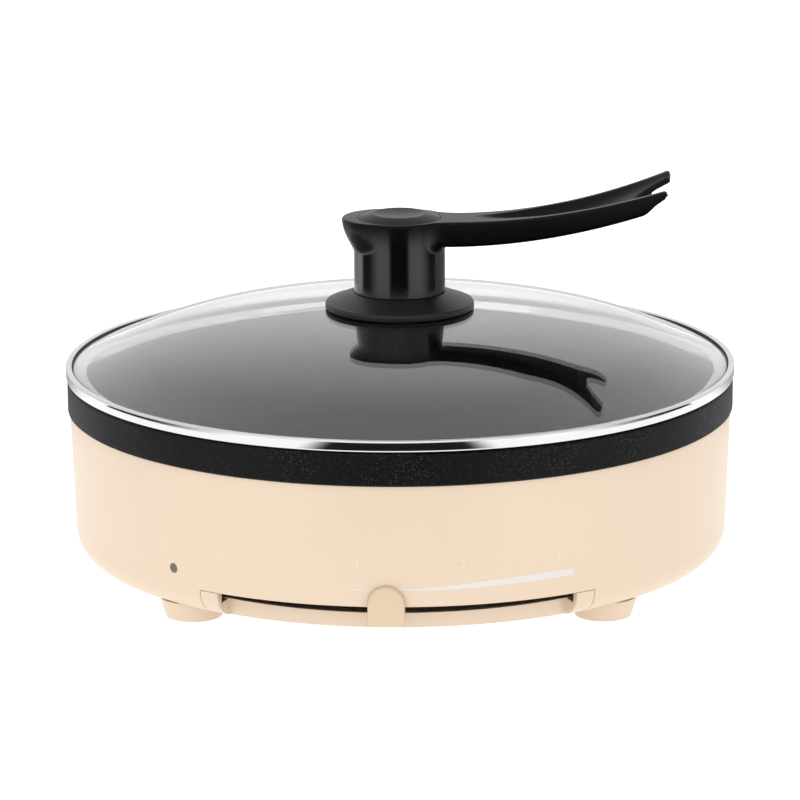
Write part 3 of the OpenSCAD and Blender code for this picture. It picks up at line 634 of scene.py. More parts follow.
def box(low: Point3, high: Point3) -> bpy.types.Mesh:
    """Makes an upright box.

    Args:
        low: Its lowest corner, in millimetres.
        high: Its highest corner.

    Returns:
        A closed mesh.
    """
    (x0, y0, z0), (x1, y1, z1) = low, high
    points = [(x, y, z) for z in (z0, z1) for x, y in ((x0, y0), (x1, y0), (x1, y1), (x0, y1))]
    sides = [(k, (k + 1) % 4, (k + 1) % 4 + 4, k + 4) for k in range(4)]
    return mesh_of("box", points, [(3, 2, 1, 0), (4, 5, 6, 7)] + sides)


def circle(radius: float, z: float, count: int) -> list[Point3]:
    """Points of a level circle round the Z axis."""
    turns = [2 * math.pi * k / count for k in range(count)]
    return [(radius * math.cos(t), radius * math.sin(t), z) for t in turns]


def lofted(name: str, rings: Sequence[Sequence[Point3]], closed: bool = False) -> bpy.types.Mesh:
    """Skins a row of outlines that have as many points each.

    Args:
        name: The mesh's name.
        rings: The outlines, in order.
        closed: Whether the last outline meets the first. If not, both ends are capped.

    Returns:
        A closed mesh.
    """
    size, last = len(rings[0]), len(rings) - 1
    faces: list[tuple[int, ...]] = []
    if not closed:
        faces = [tuple(reversed(range(size))), tuple(range(last * size, (last + 1) * size))]
    for i in range(len(rings) if closed else last):
        here, there = i * size, (i + 1) % len(rings) * size
        for k in range(size):
            n = (k + 1) % size
            faces.append((here + k, here + n, there + n, there + k))
    return mesh_of(name, [point for ring in rings for point in ring], faces)


def applied(carrier: bpy.types.Object) -> bpy.types.Mesh:
    """Turns an object with its modifiers into a plain mesh, and removes the object.

    Args:
        carrier: The object.

    Returns:
        The mesh.
    """
    graph = bpy.context.evaluated_depsgraph_get()
    mesh = bpy.data.meshes.new_from_object(carrier.evaluated_get(graph))
    bpy.data.objects.remove(carrier)
    return mesh


def tidied(mesh: bpy.types.Mesh, crease: float = 35.0) -> bpy.types.Mesh:
    """Turns the faces outwards and shades smooth between creases.

    Args:
        mesh: A closed mesh.
        crease: The angle in degrees above which an edge stays sharp.

    Returns:
        The same mesh.
    """
    form = bmesh.new()
    form.from_mesh(mesh)
    bmesh.ops.recalc_face_normals(form, faces=form.faces)
    if form.calc_volume(signed=True) < 0:
        bmesh.ops.reverse_faces(form, faces=form.faces)
    for face in form.faces:
        face.smooth = True
    form.to_mesh(mesh)
    form.free()
    mesh.set_sharp_from_angle(angle=math.radians(crease))
    return mesh


def dressed(
    name: str,
    mesh: bpy.types.Mesh,
    body: Body,
    slot: Slot,
    stands_for: Sequence[str] = (),
    finish: Finish | None = None,
) -> bpy.types.Object:
    """Makes a finished piece that rides on its body.

    Args:
        name: The piece's name.
        mesh: Its mesh, in place.
        body: The body that carries it.
        slot: The record's material slot.
        stands_for: The CAD nodes that it replaces.
        finish: Its finish, if not the slot's own.

    Returns:
        The piece.
    """
    piece = object_of(name, mesh)
    mesh.materials.clear()
    mesh.materials.append((finish or FINISHES[slot]).material())
    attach(piece, body.value)
    if stands_for:
        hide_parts(*stands_for)
    LOG.info("%s: %d faces on %s", name, len(mesh.polygons), body.value)
    return piece


def filleted(corners: Sequence[Corner], steps: int = 5) -> list[Point2]:
    """Rounds the corners of a closed outline.

    Args:
        corners: The corners, each with its fillet radius.
        steps: The parts of each arc.

    Returns:
        The outline's points in order.
    """
    outline: list[Point2] = []
    for k, (u, v, radius) in enumerate(corners):
        here = Vector((u, v))
        if radius <= 0:
            outline.append((u, v))
            continue
        back = (Vector(corners[k - 1][:2]) - here).normalized()
        ahead = (Vector(corners[(k + 1) % len(corners)][:2]) - here).normalized()
        half = back.angle(ahead) / 2
        reach = radius / math.tan(half)
        centre = here + (back + ahead).normalized() * (radius / math.sin(half))
        first, last = here + back * reach - centre, here + ahead * reach - centre
        for s in range(steps + 1):
            spoke = first.normalized().slerp(last.normalized(), s / steps)
            outline.append(tuple(centre + spoke * radius))
    return outline


class Tree:
    """A Geometry Nodes tree with named inputs, run on a carrier mesh."""

    def __init__(self, name: str, inputs: dict[str, str]) -> None:
        """Makes the tree's sockets.

        Args:
            name: The tree's name.
            inputs: Socket types by input name, after the carrier's own geometry.
        """
        self.tree = bpy.data.node_groups.new(name, "GeometryNodeTree")
        self.graph = Graph(self.tree)
        self.names: dict[str, str] = {}
        face = self.tree.interface
        face.new_socket("Carrier", in_out="INPUT", socket_type="NodeSocketGeometry")
        for label, kind in inputs.items():
            self.names[label] = face.new_socket(label, in_out="INPUT", socket_type=kind).identifier
        face.new_socket("Made", in_out="OUTPUT", socket_type="NodeSocketGeometry")
        self.inputs = self.graph.node("NodeGroupInput")

    def end(self, geometry: Sock, finish: Sock) -> None:
        """Realises the result, gives it its finish and joins it to the output.

        Args:
            geometry: The result.
            finish: The material that it takes.
        """
        real = self.graph.node("GeometryNodeRealizeInstances", {}, {"Geometry": geometry})
        done = self.graph.node("GeometryNodeSetMaterial", {}, {"Geometry": real, "Material": finish})
        self.graph.node("NodeGroupOutput", {}, {"Made": done})

    def run(self, carrier: bpy.types.Mesh, **values: Any) -> bpy.types.Mesh:
        """Runs the tree.

        Args:
            carrier: The mesh that goes in.
            values: The inputs by name.

        Returns:
            A plain mesh.
        """
        thing = object_of("carrier", carrier)
        modifier = thing.modifiers.new("made", "NODES")
        modifier.node_group = self.tree
        for name, value in values.items():
            modifier[self.names[name]] = value
        return applied(thing)


class Lathe(Tree):
    """Turns a closed outline round the Z axis."""

    def __init__(self) -> None:
        """Builds a grid and lays its rows on the turned outline."""
        super().__init__("lathe", {"Segments": "NodeSocketInt", "Finish": "NodeSocketMaterial"})
        g, outline = self.graph, self.inputs
        segments = outline.of("Segments")
        count = g.node("GeometryNodeAttributeDomainSize", {}, {"Geometry": outline}, "Point Count")
        row = count + 1
        sizes = {"Vertices X": segments + 1, "Vertices Y": row}
        grid = g.node("GeometryNodeMeshGrid", {}, sizes, "Mesh")
        index = g.node("GeometryNodeInputIndex")
        turn = ((index + 0.5) / row).floor()
        step = (index - turn * row).modulo(count)
        sockets = {"Geometry": outline, "Value": g.node("GeometryNodeInputPosition"), "Index": step}
        spot = g.node("GeometryNodeSampleIndex", {"data_type": "FLOAT_VECTOR"}, sockets)
        radius, _, height = g.split(spot)
        angle = turn / segments * (2 * math.pi)
        place = {"X": radius * angle.cos(), "Y": radius * angle.sin(), "Z": height}
        to = g.node("ShaderNodeCombineXYZ", {}, place)
        moved = g.node("GeometryNodeSetPosition", {}, {"Geometry": grid, "Position": to})
        closed = g.node("GeometryNodeMergeByDistance", {}, {"Geometry": moved, "Distance": 1e-6})
        self.end(closed, outline.of("Finish"))

    def turned(self, outline: Sequence[Point2], slot: Slot, segments: int = 128) -> bpy.types.Mesh:
        """Turns an outline.

        Args:
            outline: Closed points (radius, height).
            slot: The slot whose finish it takes.
            segments: The parts of the full circle.

        Returns:
            A closed mesh.
        """
        carrier = mesh_of("outline", [(r, 0, z) for r, z in outline])
        made = self.run(carrier, Segments=segments, Finish=FINISHES[slot].material())
        return tidied(made, crease=32.0)


class Scatter(Tree):
    """Sets one shape on each point of the carrier, all turned the same way."""

    def __init__(self) -> None:
        """Instances the shape on the points."""
        kinds = {"Shape": "NodeSocketObject", "Turn": "NodeSocketVector", "Finish": "NodeSocketMaterial"}
        super().__init__("scatter", kinds)
        g, points = self.graph, self.inputs
        shape = g.node("GeometryNodeObjectInfo", {}, {"Object": points.of("Shape")}, "Geometry")
        sockets = {"Points": points, "Instance": shape, "Rotation": points.of("Turn")}
        self.end(g.node("GeometryNodeInstanceOnPoints", {}, sockets), points.of("Finish"))

    def scattered(
        self, shape: bpy.types.Mesh, spots: Sequence[Point3], turn: Point3, slot: Slot
    ) -> bpy.types.Mesh:
        """Sets a shape on spots.

        Args:
            shape: The shape, about the origin.
            spots: The places, in millimetres.
            turn: Euler angles in radians.
            slot: The slot whose finish it takes.

        Returns:
            One mesh with every copy.
        """
        thing = object_of("shape", shape)
        carrier = mesh_of("spots", spots)
        made = self.run(carrier, Shape=thing, Turn=turn, Finish=FINISHES[slot].material())
        bpy.data.objects.remove(thing)
        return tidied(made, crease=32.0)


def joined(first: bpy.types.Mesh, second: bpy.types.Mesh, meeting: Meeting) -> bpy.types.Mesh:
    """Unites two closed meshes, or cuts the second out of the first.

    Args:
        first: The mesh that stays.
        second: The mesh that is added or cut.
        meeting: Which of the two is done.

    Returns:
        A new mesh.
    """
    thing, tool = object_of("first", first), object_of("second", second)
    cut = thing.modifiers.new("cut", "BOOLEAN")
    cut.operation, cut.solver, cut.object = meeting.value, "EXACT", tool
    made = applied(thing)
    bpy.data.objects.remove(tool)
    return made


def softened(node: bpy.types.Object, width: float, crease: float = 40.0) -> bpy.types.Mesh:
    """A copy of a CAD node with its sharp edges rounded.

    Args:
        node: The CAD node's object.
        width: The width of the rounding, in millimetres.
        crease: The angle in degrees above which an edge is rounded.

    Returns:
        The rounded mesh.
    """
    form = bmesh.new()
    form.from_mesh(node.data)
    bmesh.ops.remove_doubles(form, verts=form.verts, dist=1e-6)
    flat = math.radians(0.4)
    bmesh.ops.dissolve_limit(form, angle_limit=flat, verts=form.verts, edges=form.edges)
    weight = form.edges.layers.float.new("bevel_weight_edge")
    for edge in form.edges:
        edge[weight] = float(edge.is_manifold and edge.calc_face_angle() > math.radians(crease))
    mesh = bpy.data.meshes.new(node.name + "_soft")
    form.to_mesh(mesh)
    form.free()
    thing = object_of("soft", mesh)
    bevel = thing.modifiers.new("round", "BEVEL")
    bevel.width, bevel.segments, bevel.limit_method = width * MM, 4, "WEIGHT"
    bevel.use_clamp_overlap = True
    return tidied(applied(thing), crease)


# The object's own parts


@dataclass
class Lid:
    """Domed glass, rolled rim and the black ring between them: partly a seal, partly painted shade of the
    gap under the lip.
    """

    lathe: Lathe
    rim_r: float = 156.0
    rim_low: float = 92.3
    rim_high: float = 97.6
    sheet: float = 0.5
    gap: float = 0.05
    glass_r: float = 154.5
    glass_t: float = 3.5
    glass_steps: int = 44
    lap: float = 1.3
    lip_fall: float = 0.1
    sunk: float = 0.9
    sunk_from: float = 0.72
    sunk_run: float = 0.2
    dome_rise: float = 26.5
    dome_full: float = 2.75
    bore: float = 5.0
    bead_r: float = 145.5
    bead_low: float = 88.8
    bead_in: float = 1.5
    bead_t: float = 0.6
    joint: float = 1.15
    joint_top: float = 0.2
    joint_foot: float = 0.6
    joint_gap: float = 0.03

    def top(self, radius: float) -> float:
        """Height of the plain dome at a radius."""
        edge = self.rim_low + self.sheet + self.gap + self.glass_t
        return edge + self.dome_rise * (1 - (radius / self.glass_r) ** self.dome_full)

    def face(self, radius: float) -> float:
        """Height of the glass with its edge ground down."""
        ground = eased((radius / self.glass_r - self.sunk_from) / self.sunk_run)
        return self.top(radius) - self.sunk * ground

    def build(self) -> None:
        """Makes the glass, the rim and the black ring, which is partly a seal and partly painted shade of
        the gap under the lip.
        """
        span = self.glass_r - self.bore
        radii = [self.bore + span * k / self.glass_steps for k in range(self.glass_steps + 1)]
        outside = [(r, self.face(r)) for r in radii]
        inside = [(r, max(z, self.top(self.glass_r)) - self.glass_t) for r, z in reversed(outside)]
        glass = self.lathe.turned(outside + inside, Slot.GLASS, 192)
        dressed("domed_glass", glass, Body.LID, Slot.GLASS, ["lid_glass"])
        lip_r, seat = self.glass_r - self.lap, self.glass_r + self.gap
        foot, sheet_top = self.bead_r - self.bead_in, self.rim_low + self.sheet
        profile = [
            (foot, self.bead_low, 0.25),
            (foot + self.bead_t, self.bead_low, 0.25),
            (self.bead_r + self.bead_t, self.rim_low, 0.4),
            (self.rim_r, self.rim_low, 1.2),
            (self.rim_r, self.rim_high, 0.8),
            (seat, self.rim_high, 0.0),
            (lip_r, self.rim_high - self.lip_fall, 0.3),
            (lip_r, self.face(lip_r) + self.gap, 0.2),
            (seat, self.face(seat) + self.gap, 0.0),
            (seat, sheet_top, 0.0),
            (self.bead_r, sheet_top, 0.3),
        ]
        rim = self.lathe.turned(filleted(profile), Slot.POLISHED, 256)
        dressed("rolled_rim", rim, Body.LID, Slot.POLISHED, ["lid_rim"])
        # Black ring under the lip: partly a seal, partly painted shade of the shadowed gap between lip and
        # glass.
        low, inner = self.face(lip_r) + self.joint_gap, lip_r - self.joint_foot
        line = [
            (lip_r + self.gap, low),
            (lip_r + self.gap, low + self.joint),
            (lip_r - self.joint_top, low + self.joint),
            (inner, self.face(inner) + self.joint_gap),
        ]
        dressed("rim_joint", self.lathe.turned(line, Slot.SEAL, 256), Body.LID, Slot.SEAL)


@dataclass
class Handle:
    """Disc, column, leaning head, cap and forked arm."""

    lid: Lid
    lathe: Lathe
    gap: float = 0.15
    seal_r: float = 28.05
    seal_t: float = 1.2
    bore: float = 2.5
    turn: float = 4.0
    flange_r: float = 34.7
    flange_edge: float = 3.4
    flange_rise: float = 4.4
    flange_round: float = 0.46
    flange_foot: float = 0.5
    column_r: float = 21.2
    column_h: float = 17.9
    column_edge: float = 0.4
    head_h: float = 17.0
    head_lean: float = 5.5
    head_round: float = 19.6
    head_bend: float = 0.2
    head_flow: float = 0.9
    head_edge: float = 1.0
    edge_front: float = 0.02
    edge_back: float = 0.9
    edge_from: float = 0.75
    edge_run: float = 0.4
    cap_r: float = 19.1
    cap_gap: float = 0.3
    cap_rise: float = 3.4
    cap_seat: float = 1.5
    cap_dish: float = 0.65
    dish_sink: float = 1.1
    peg_r: float = 3.5
    peg_len: float = 8.0
    arm_len: float = 125.0
    arm_start: float = 22.0
    arm_bend: float = 280.0
    arm_inner: float = 8.0
    arm_sink: float = 1.2
    root_run: float = 20.0
    root_w: float = 24.0
    root_in: float = 0.8
    tip_w: float = 54.0
    root_t: float = 12.0
    tip_t: float = 8.4
    band: float = 3.8
    dish: float = 5.4
    dish_end: float = 3.4
    dish_start: float = 33.0
    dish_run: float = 34.0
    dish_fade: float = 0.6
    notch_r: float = 23.0
    notch_in: float = 9.5
    blunt: float = 2.6
    slant: float = 42.0
    corner: float = 1.8
    nose: float = 2.3
    top_edge: float = 1.1
    low_edge: float = 2.4
    proud: float = 0.02
    rows: int = 96
    cols: int = 60
    arc: int = 6
    sides: int = 128
    flow_in: float = 1.4
    flow_out: float = 5.0
    flow_under: float = 0.5
    flow_angle: float = 12.0
    flow_reach: float = 5.0
    flow_fade: float = 0.75
    flow_rounds: int = 40

    @property
    def low(self) -> float:
        """Underside of the disc."""
        return self.lid.top(self.flange_r) + self.gap

    @property
    def foot(self) -> float:
        """Foot of the column."""
        return self.low + self.flange_edge + self.flange_rise

    @property
    def head(self) -> float:
        """Level at which the head starts to lean."""
        return self.foot + self.column_h

    @property
    def crown(self) -> float:
        """Top of the head."""
        return self.head + self.head_h

    def along(self, s: float) -> float:
        """Share of the arm's length at a distance from the axis."""
        return max(0.0, (s - self.arm_start) / (self.arm_len - self.arm_start))

    def rise(self, s: float) -> float:
        """Height of the arm's upper edges."""
        return self.crown + max(0.0, s - self.arm_start) ** 2 / (2 * self.arm_bend)

    def half(self, s: float) -> float:
        """Half the arm's width, with the root's spread.

        Args:
            s: The distance from the axis.

        Returns:
            The half width there.
        """
        reach = math.sqrt(self.column_r**2 - self.arm_inner**2) - self.root_w / 2 - self.root_in
        spread = reach * max(0.0, 1 - (s - self.arm_inner) / self.root_run) ** 2
        return (self.root_w + (self.tip_w - self.root_w) * self.along(s) ** 2) / 2 + spread

    def thick(self, s: float) -> float:
        """Thickness of the arm."""
        return self.root_t - (self.root_t - self.tip_t) * self.along(s) ** 1.5

    def trough(self, s: float, y: float) -> float:
        """Depth of the trough at a place on the arm.

        Args:
            s: The distance from the axis.
            y: The place across the arm.

        Returns:
            The depth below the upper edges.
        """
        run = (s - self.dish_start) / self.dish_run
        end = eased((self.along(s) - self.dish_fade) / (1 - self.dish_fade))
        deep = (self.dish + (self.dish_end - self.dish) * end) * eased(run)
        wide = (self.half(s) - self.band) * math.sqrt(min(1.0, max(0.0, run)))
        return deep * max(0.0, 1 - (abs(y) / max(0.1, wide)) ** 3)

    def tail(self, y: float, z: float) -> float:
        """Where the slanted, notched tail ends.

        Args:
            y: The place across the arm.
            z: The height.

        Returns:
            The distance from the axis there.
        """
        slant = math.radians(self.slant)
        plane = self.arm_len - (self.rise(self.arm_len) - self.blunt - z) * math.tan(slant)
        end = min(self.arm_len, plane)
        over = abs(y) - self.half(self.arm_len) + self.corner
        if over > 0:
            end -= self.corner - math.sqrt(max(0.0, self.corner**2 - over * over))
        if abs(y) < self.notch_r:
            bow = self.notch_r - math.sqrt(self.notch_r**2 - y * y)
            end = min(end, plane - self.notch_in + bow / math.cos(slant))
        return end

    def section(self, j: int, half: float, soft: float) -> Point2:
        """One point of the arm's section.

        Args:
            j: The point's number across the arm.
            half: Half the arm's width there.
            soft: The radius of the section's edges.

        Returns:
            Its place across the arm and its drop at the rounded edge.
        """
        step = min(j, self.cols - j)
        if step <= self.arc:
            angle = math.pi / 2 * step / self.arc
            across = half - soft + soft * math.cos(angle)
            return (-across if j <= self.arc else across, soft * (1 - math.sin(angle)))
        return ((half - soft) * (2 * (j - self.arc) / (self.cols - 2 * self.arc) - 1), 0.0)

    def skin(self, j: int, share: float, under: bool) -> Point3:
        """One point of the arm's upper or lower skin.

        Args:
            j: The point's number across the arm.
            share: Its share of the way from the column to the tail.
            under: Whether it is on the lower skin.

        Returns:
            The point, settled by a few passes because the tail's end depends on its height.
        """
        inner, passes = self.column_r - self.arm_sink, 8
        soft = self.low_edge if under else self.top_edge
        s = self.arm_len * share
        for _ in range(passes):
            y, drop = self.section(j, self.half(s), soft)
            depth = self.thick(s) - drop if under else self.trough(s, y) + drop - self.proud
            z = self.rise(s) - depth
            first = math.sqrt(max(inner**2 - y * y, self.arm_inner**2))
            end = self.tail(y, z)
            s = first + (end - first) * share
        over = max(0.0, s - end + self.nose)
        nod = self.nose - math.sqrt(max(0.0, self.nose**2 - over * over))
        return (s, y, z + nod if under else z - nod)

    def arm(self) -> bpy.types.Mesh:
        """The arm, with rounded rims and tips.

        Returns:
            A closed mesh in the handle's own direction.
        """
        rows, cols, even = self.rows, self.cols, 0.45
        points: list[Point3] = []
        for under in (False, True):
            for i in range(rows + 1):
                share = even * i / rows + (1 - even) * math.sin(math.pi / 2 * i / rows)
                points += [self.skin(j, share, under) for j in range(cols + 1)]
        wide, size = cols + 1, len(points) // 2
        faces: list[tuple[int, ...]] = []
        for i in range(rows):
            for j in range(cols):
                a = i * wide + j
                b, c, d = a + 1, a + wide, a + wide + 1
                faces += [(a, c, d, b), (size + a, size + b, size + d, size + c)]
            a = i * wide
            c = a + wide
            faces += [(a, size + a, size + c, c), (a + cols, c + cols, size + c + cols, size + a + cols)]
        for j in range(cols):
            a, c = j, rows * wide + j
            faces += [(a, a + 1, size + a + 1, size + a), (c, size + c, size + c + 1, c + 1)]
        return tidied(mesh_of("arm", points, faces), crease=50.0)

    def head_ring(self, z: float, lean: float, turn: float = 0.0) -> list[Point3]:
        """One outline of the leaning head.

        Args:
            z: Its level.
            lean: How far the head leans back there.
            turn: The angle by which it is turned in over the upper edge.

        Returns:
            Its points, in order.
        """
        points = []
        centre = self.head_round - self.column_r - lean
        soft = self.head_flow * lean / self.head_lean
        for k in range(self.sides):
            angle = 2 * math.pi * k / self.sides
            across = self.head_round**2 - (centre * math.sin(angle)) ** 2
            over = centre * math.cos(angle) + math.sqrt(across) - self.column_r
            reach = self.column_r + (over + math.sqrt(over * over + soft * soft)) / 2
            away = abs(math.remainder(angle, 2 * math.pi))
            edge = self.edge_front + self.edge_back * eased((away - self.edge_from) / self.edge_run)
            reach -= edge * (1 - math.cos(turn))
            drop = edge * (1 - math.sin(turn)) if turn else 0.0
            points.append((reach * math.cos(angle), reach * math.sin(angle), z - drop))
        return points

    def column(self) -> bpy.types.Mesh:
        """Column and leaning head with the seat of the cap.

        Returns:
            A closed mesh in the handle's own direction.
        """
        steps, levels, turns = 6, 16, 5
        outline = [(self.bore, self.foot), (self.column_r - self.column_edge, self.foot)]
        for k in range(steps + 1):
            climb = self.column_edge + (self.column_h - self.column_edge) * k / steps
            outline.append((self.column_r, self.foot + climb))
        rings = [circle(r, z, self.sides) for r, z in outline]
        for k in range(1, levels + 1):
            share = k / levels * (1 - self.head_edge / self.head_h)
            bend = self.head_bend
            soft = share**2 / (2 * bend) if share < bend else share - bend / 2
            lean = self.head_lean * math.sin(math.pi / 2 * soft / (1 - bend / 2))
            rings.append(self.head_ring(self.head + self.head_h * share, lean))
        for k in range(1, turns + 1):
            rings.append(self.head_ring(self.crown, self.head_lean, math.pi / 2 * k / turns))
        seat_r, seat = self.cap_r + self.cap_gap, self.crown - self.cap_seat
        for r, z in ((seat_r, self.crown), (seat_r, seat), (self.bore, seat)):
            rings.append(circle(r, z, self.sides))
        return tidied(lofted("column", rings, closed=True), crease=32.0)

    def flowed(self, mesh: bpy.types.Mesh) -> bpy.types.Mesh:
        """Lets the arm flow into the column where they meet.

        Args:
            mesh: Column and arm as one closed mesh.

        Returns:
            The same mesh.
        """
        form = bmesh.new()
        form.from_mesh(mesh)
        near, far = (self.column_r - self.flow_in) * MM, (self.column_r + self.flow_out) * MM
        top = (self.crown - self.flow_under) * MM
        seeds = []
        for edge in form.edges:
            middle = (edge.verts[0].co + edge.verts[1].co) / 2
            beside = near < middle.xy.length < far and middle.x > 0 and middle.z < top
            hollow = edge.is_manifold and not edge.is_convex
            if beside and hollow and edge.calc_face_angle() > math.radians(self.flow_angle):
                seeds.append(middle.copy())
        tree = KDTree(len(seeds))
        for k, seed in enumerate(seeds):
            tree.insert(seed, k)
        tree.balance()
        away = [(tree.find(v.co)[2] / MM, v) for v in form.verts if v.co.z < top]
        axes = {"use_axis_x": True, "use_axis_y": True, "use_axis_z": True}
        for k in range(self.flow_rounds):
            limit = self.flow_reach * (1 - self.flow_fade * k / self.flow_rounds)
            moving = [v for distance, v in away if distance < limit]
            bmesh.ops.smooth_vert(form, verts=moving, factor=0.5, **axes)
        form.to_mesh(mesh)
        form.free()
        return mesh

    def disc(self) -> bpy.types.Mesh:
        """The disc under the column.

        Returns:
            A closed mesh.
        """
        edge, seal = self.flange_edge, self.lid.top(0) + self.seal_t
        profile = [
            (self.bore, seal, 0.0),
            (self.seal_r, seal, 0.0),
            (self.seal_r, self.lid.top(self.seal_r) + self.gap, 0.2),
            (self.flange_r, self.low, self.flange_foot),
            (self.flange_r, self.low + edge, edge * self.flange_round),
            (self.flange_r - edge / 2, self.low + edge, 0.6),
            (self.column_r + 0.6, self.foot, 0.3),
            (self.bore, self.foot, 0.0),
        ]
        return self.lathe.turned(filleted(profile), Slot.BLACK, 160)

    def cap(self) -> bpy.types.Mesh:
        """The round cap with its dish and its peg.

        Returns:
            A closed mesh.
        """
        steps, seat, dish = 10, self.crown - self.cap_seat, self.cap_r * self.cap_dish
        peg = seat - self.peg_len
        outline = [(0.0, peg), (self.peg_r, peg), (self.peg_r, seat), (self.cap_r, seat)]
        for k in range(steps + 1):
            r = self.cap_r + (dish - self.cap_r) * k / steps
            outline.append((r, self.crown + self.cap_rise * (1 - (r / self.cap_r) ** 2)))
        rim = outline[-1][1]
        for k in range(1, steps + 1):
            share = 1 - k / steps
            outline.append((dish * share, rim - self.dish_sink * (1 - share**2)))
        return self.lathe.turned(outline, Slot.BLACK, 128)

    def build(self) -> None:
        """Makes the handle's pieces."""
        body = self.flowed(joined(self.column(), self.arm(), Meeting.UNITED))
        body.transform(Matrix.Rotation(-math.radians(self.turn), 4, "Z"))
        dressed("forked_handle", tidied(body, crease=40.0), Body.LID, Slot.BLACK, ["lid_handle"])
        dressed("handle_disc", self.disc(), Body.LID, Slot.BLACK, ["handle_flange"], SATIN_BLACK)
        dressed("round_cap", self.cap(), Body.LID, Slot.BLACK, ["handle_cap"])


@dataclass
class Housing:
    """Cream housing with its print, base and feet."""

    nodes: dict[str, bpy.types.Object]
    lathe: Lathe
    scatter: Scatter
    edge: float = 0.45
    wall_low: float = 152.5
    wall_high: float = 154.4
    z_low: float = 21.0
    z_high: float = 76.7
    ink: float = 0.04
    ink_root: float = 0.1
    wedge: tuple[Point3, ...] = (
        (-8.2, 29.0, 0.45),
        (-3.5, 29.1, 0.55),
        (3.2, 29.2, 0.75),
        (8.9, 29.1, 1.8),
        (14.8, 29.4, 2.8),
        (20.7, 29.8, 3.2),
        (27.0, 30.1, 3.4),
        (30.7, 30.3, 3.2),
    )
    marks: tuple[tuple[str, float, float], ...] = (
        ("0", -31.1, 39.0),
        ("1", -6.5, 39.8),
        ("2", 11.0, 40.5),
        ("3", 27.8, 40.8),
    )
    mark_size: float = 5.6
    foot_ring: float = 131.0
    pad_r: float = 9.0
    pad_t: float = 2.0
    tread_r: float = 2.0
    tread_step: float = 2.2
    tread_w: float = 1.5
    tread_h: float = 0.3
    ring_r: float = 143.8
    ring_t: float = 2.2
    ring_top: float = 16.3
    slot_half: float = 31.7
    slot_pinch: float = 0.85

    def on_wall(self, angle: float, z: float, proud: float) -> Point3:
        """A point on the wall.

        Args:
            angle: Degrees from the front.
            z: Its height.
            proud: How far it stands out of the wall.

        Returns:
            The point.
        """
        share = (z - self.z_low) / (self.z_high - self.z_low)
        r = self.wall_low + (self.wall_high - self.wall_low) * share + proud
        a = math.radians(angle)
        return (r * math.sin(a), -r * math.cos(a), z)

    def stripe(self) -> bpy.types.Mesh:
        """The wedge of the heat scale.

        Returns:
            A film of ink.
        """
        count, rings = 96, []
        first, last = self.wedge[0][0], self.wedge[-1][0]
        for i in range(count + 1):
            angle = first + (last - first) * i / count
            k = max(n for n in range(len(self.wedge) - 1) if self.wedge[n][0] <= angle + 1e-9)
            (a0, z0, t0), (a1, z1, t1) = self.wedge[k], self.wedge[k + 1]
            share = (angle - a0) / (a1 - a0)
            low, tall = z0 + (z1 - z0) * share, t0 + (t1 - t0) * share
            corners = ((low, -self.ink_root), (low, self.ink))
            corners += ((low + tall, self.ink), (low + tall, -self.ink_root))
            rings.append([self.on_wall(angle, z, proud) for z, proud in corners])
        return tidied(lofted("stripe", rings))

    def numeral(self, text: str, angle: float, z: float) -> bpy.types.Mesh:
        """One number of the heat scale, wrapped on the wall.

        Args:
            text: The number.
            angle: Degrees from the front.
            z: Height of its middle.

        Returns:
            A film of ink.
        """
        letter = bpy.data.curves.new("numeral", "FONT")
        letter.body, letter.size, letter.extrude = text, self.mark_size * MM, self.ink / 2 * MM
        letter.align_x, letter.align_y, letter.resolution_u = "CENTER", "CENTER", 6
        mesh = applied(object_of("numeral", letter))
        for vertex in mesh.vertices:
            x, y, depth = (c / MM for c in vertex.co)
            turn = angle + math.degrees(x / self.wall_low)
            proud = self.ink if depth > 0 else -self.ink_root
            vertex.co = Vector(self.on_wall(turn, z + y, proud)) * MM
        bpy.data.curves.remove(letter)
        return mesh

    def pinched(self, mesh: bpy.types.Mesh) -> bpy.types.Mesh:
        """Raises the top of the ring wall towards the ends of the slot.

        Args:
            mesh: The base with its edges rounded.

        Returns:
            The same mesh.
        """
        near, past = 0.6, 4.0
        for vertex in mesh.vertices:
            x, y, z = (c / MM for c in vertex.co)
            on_ring = -near - self.ring_t < math.hypot(x, y) - self.ring_r < near
            turn = math.degrees(math.atan2(abs(x), -y))
            if on_ring and abs(z - self.ring_top) < near and turn < self.slot_half + past:
                vertex.co.z += self.slot_pinch * MM * (turn / self.slot_half) ** 2
        return mesh

    def pads(self) -> bpy.types.Mesh:
        """The four pads under the feet, with rings on their treads.

        Returns:
            One mesh.
        """
        flank, edge = self.tread_h, 0.12
        tread = [(0.0, self.tread_h, 0.0)]
        for k in range(3):
            r = self.tread_r + self.tread_step * k
            end = r + self.tread_w
            tread += [(r, self.tread_h, 0.0), (r + flank, 0.0, edge)]
            tread += [(end - flank, 0.0, edge), (end, self.tread_h, 0.0)]
        tread += [(self.pad_r, self.tread_h, 0.3), (self.pad_r, self.pad_t, 0.2), (0.0, self.pad_t, 0.0)]
        pad = self.lathe.turned(filleted(tread, 2), Slot.SILICONE, 48)
        c = self.foot_ring * math.sqrt(0.5)
        spots = [(x, y, 0) for y in (-c, c) for x in (-c, c)]
        return self.scatter.scattered(pad, spots, (0.0, 0.0, 0.0), Slot.SILICONE)

    def build(self) -> None:
        """Makes the housing, the base, the print and the pads."""
        housing, base = (softened(self.nodes[node], self.edge) for node in ("shell", "base_plate"))
        dressed("soft_housing", housing, Body.BASE, Slot.CREAM, ["shell"])
        dressed("soft_base", self.pinched(base), Body.BASE, Slot.CREAM, ["base_plate"])
        dressed("scale_wedge", self.stripe(), Body.BASE, Slot.CREAM, (), INK)
        for text, angle, z in self.marks:
            mark = self.numeral(text, angle, z)
            dressed("scale_mark_" + text, mark, Body.BASE, Slot.CREAM, (), FAINT_INK)
        nodes = ["foot_pad_" + place for place in ("fl", "fr", "rl", "rr")]
        dressed("foot_pads", self.pads(), Body.BASE, Slot.SILICONE, nodes)


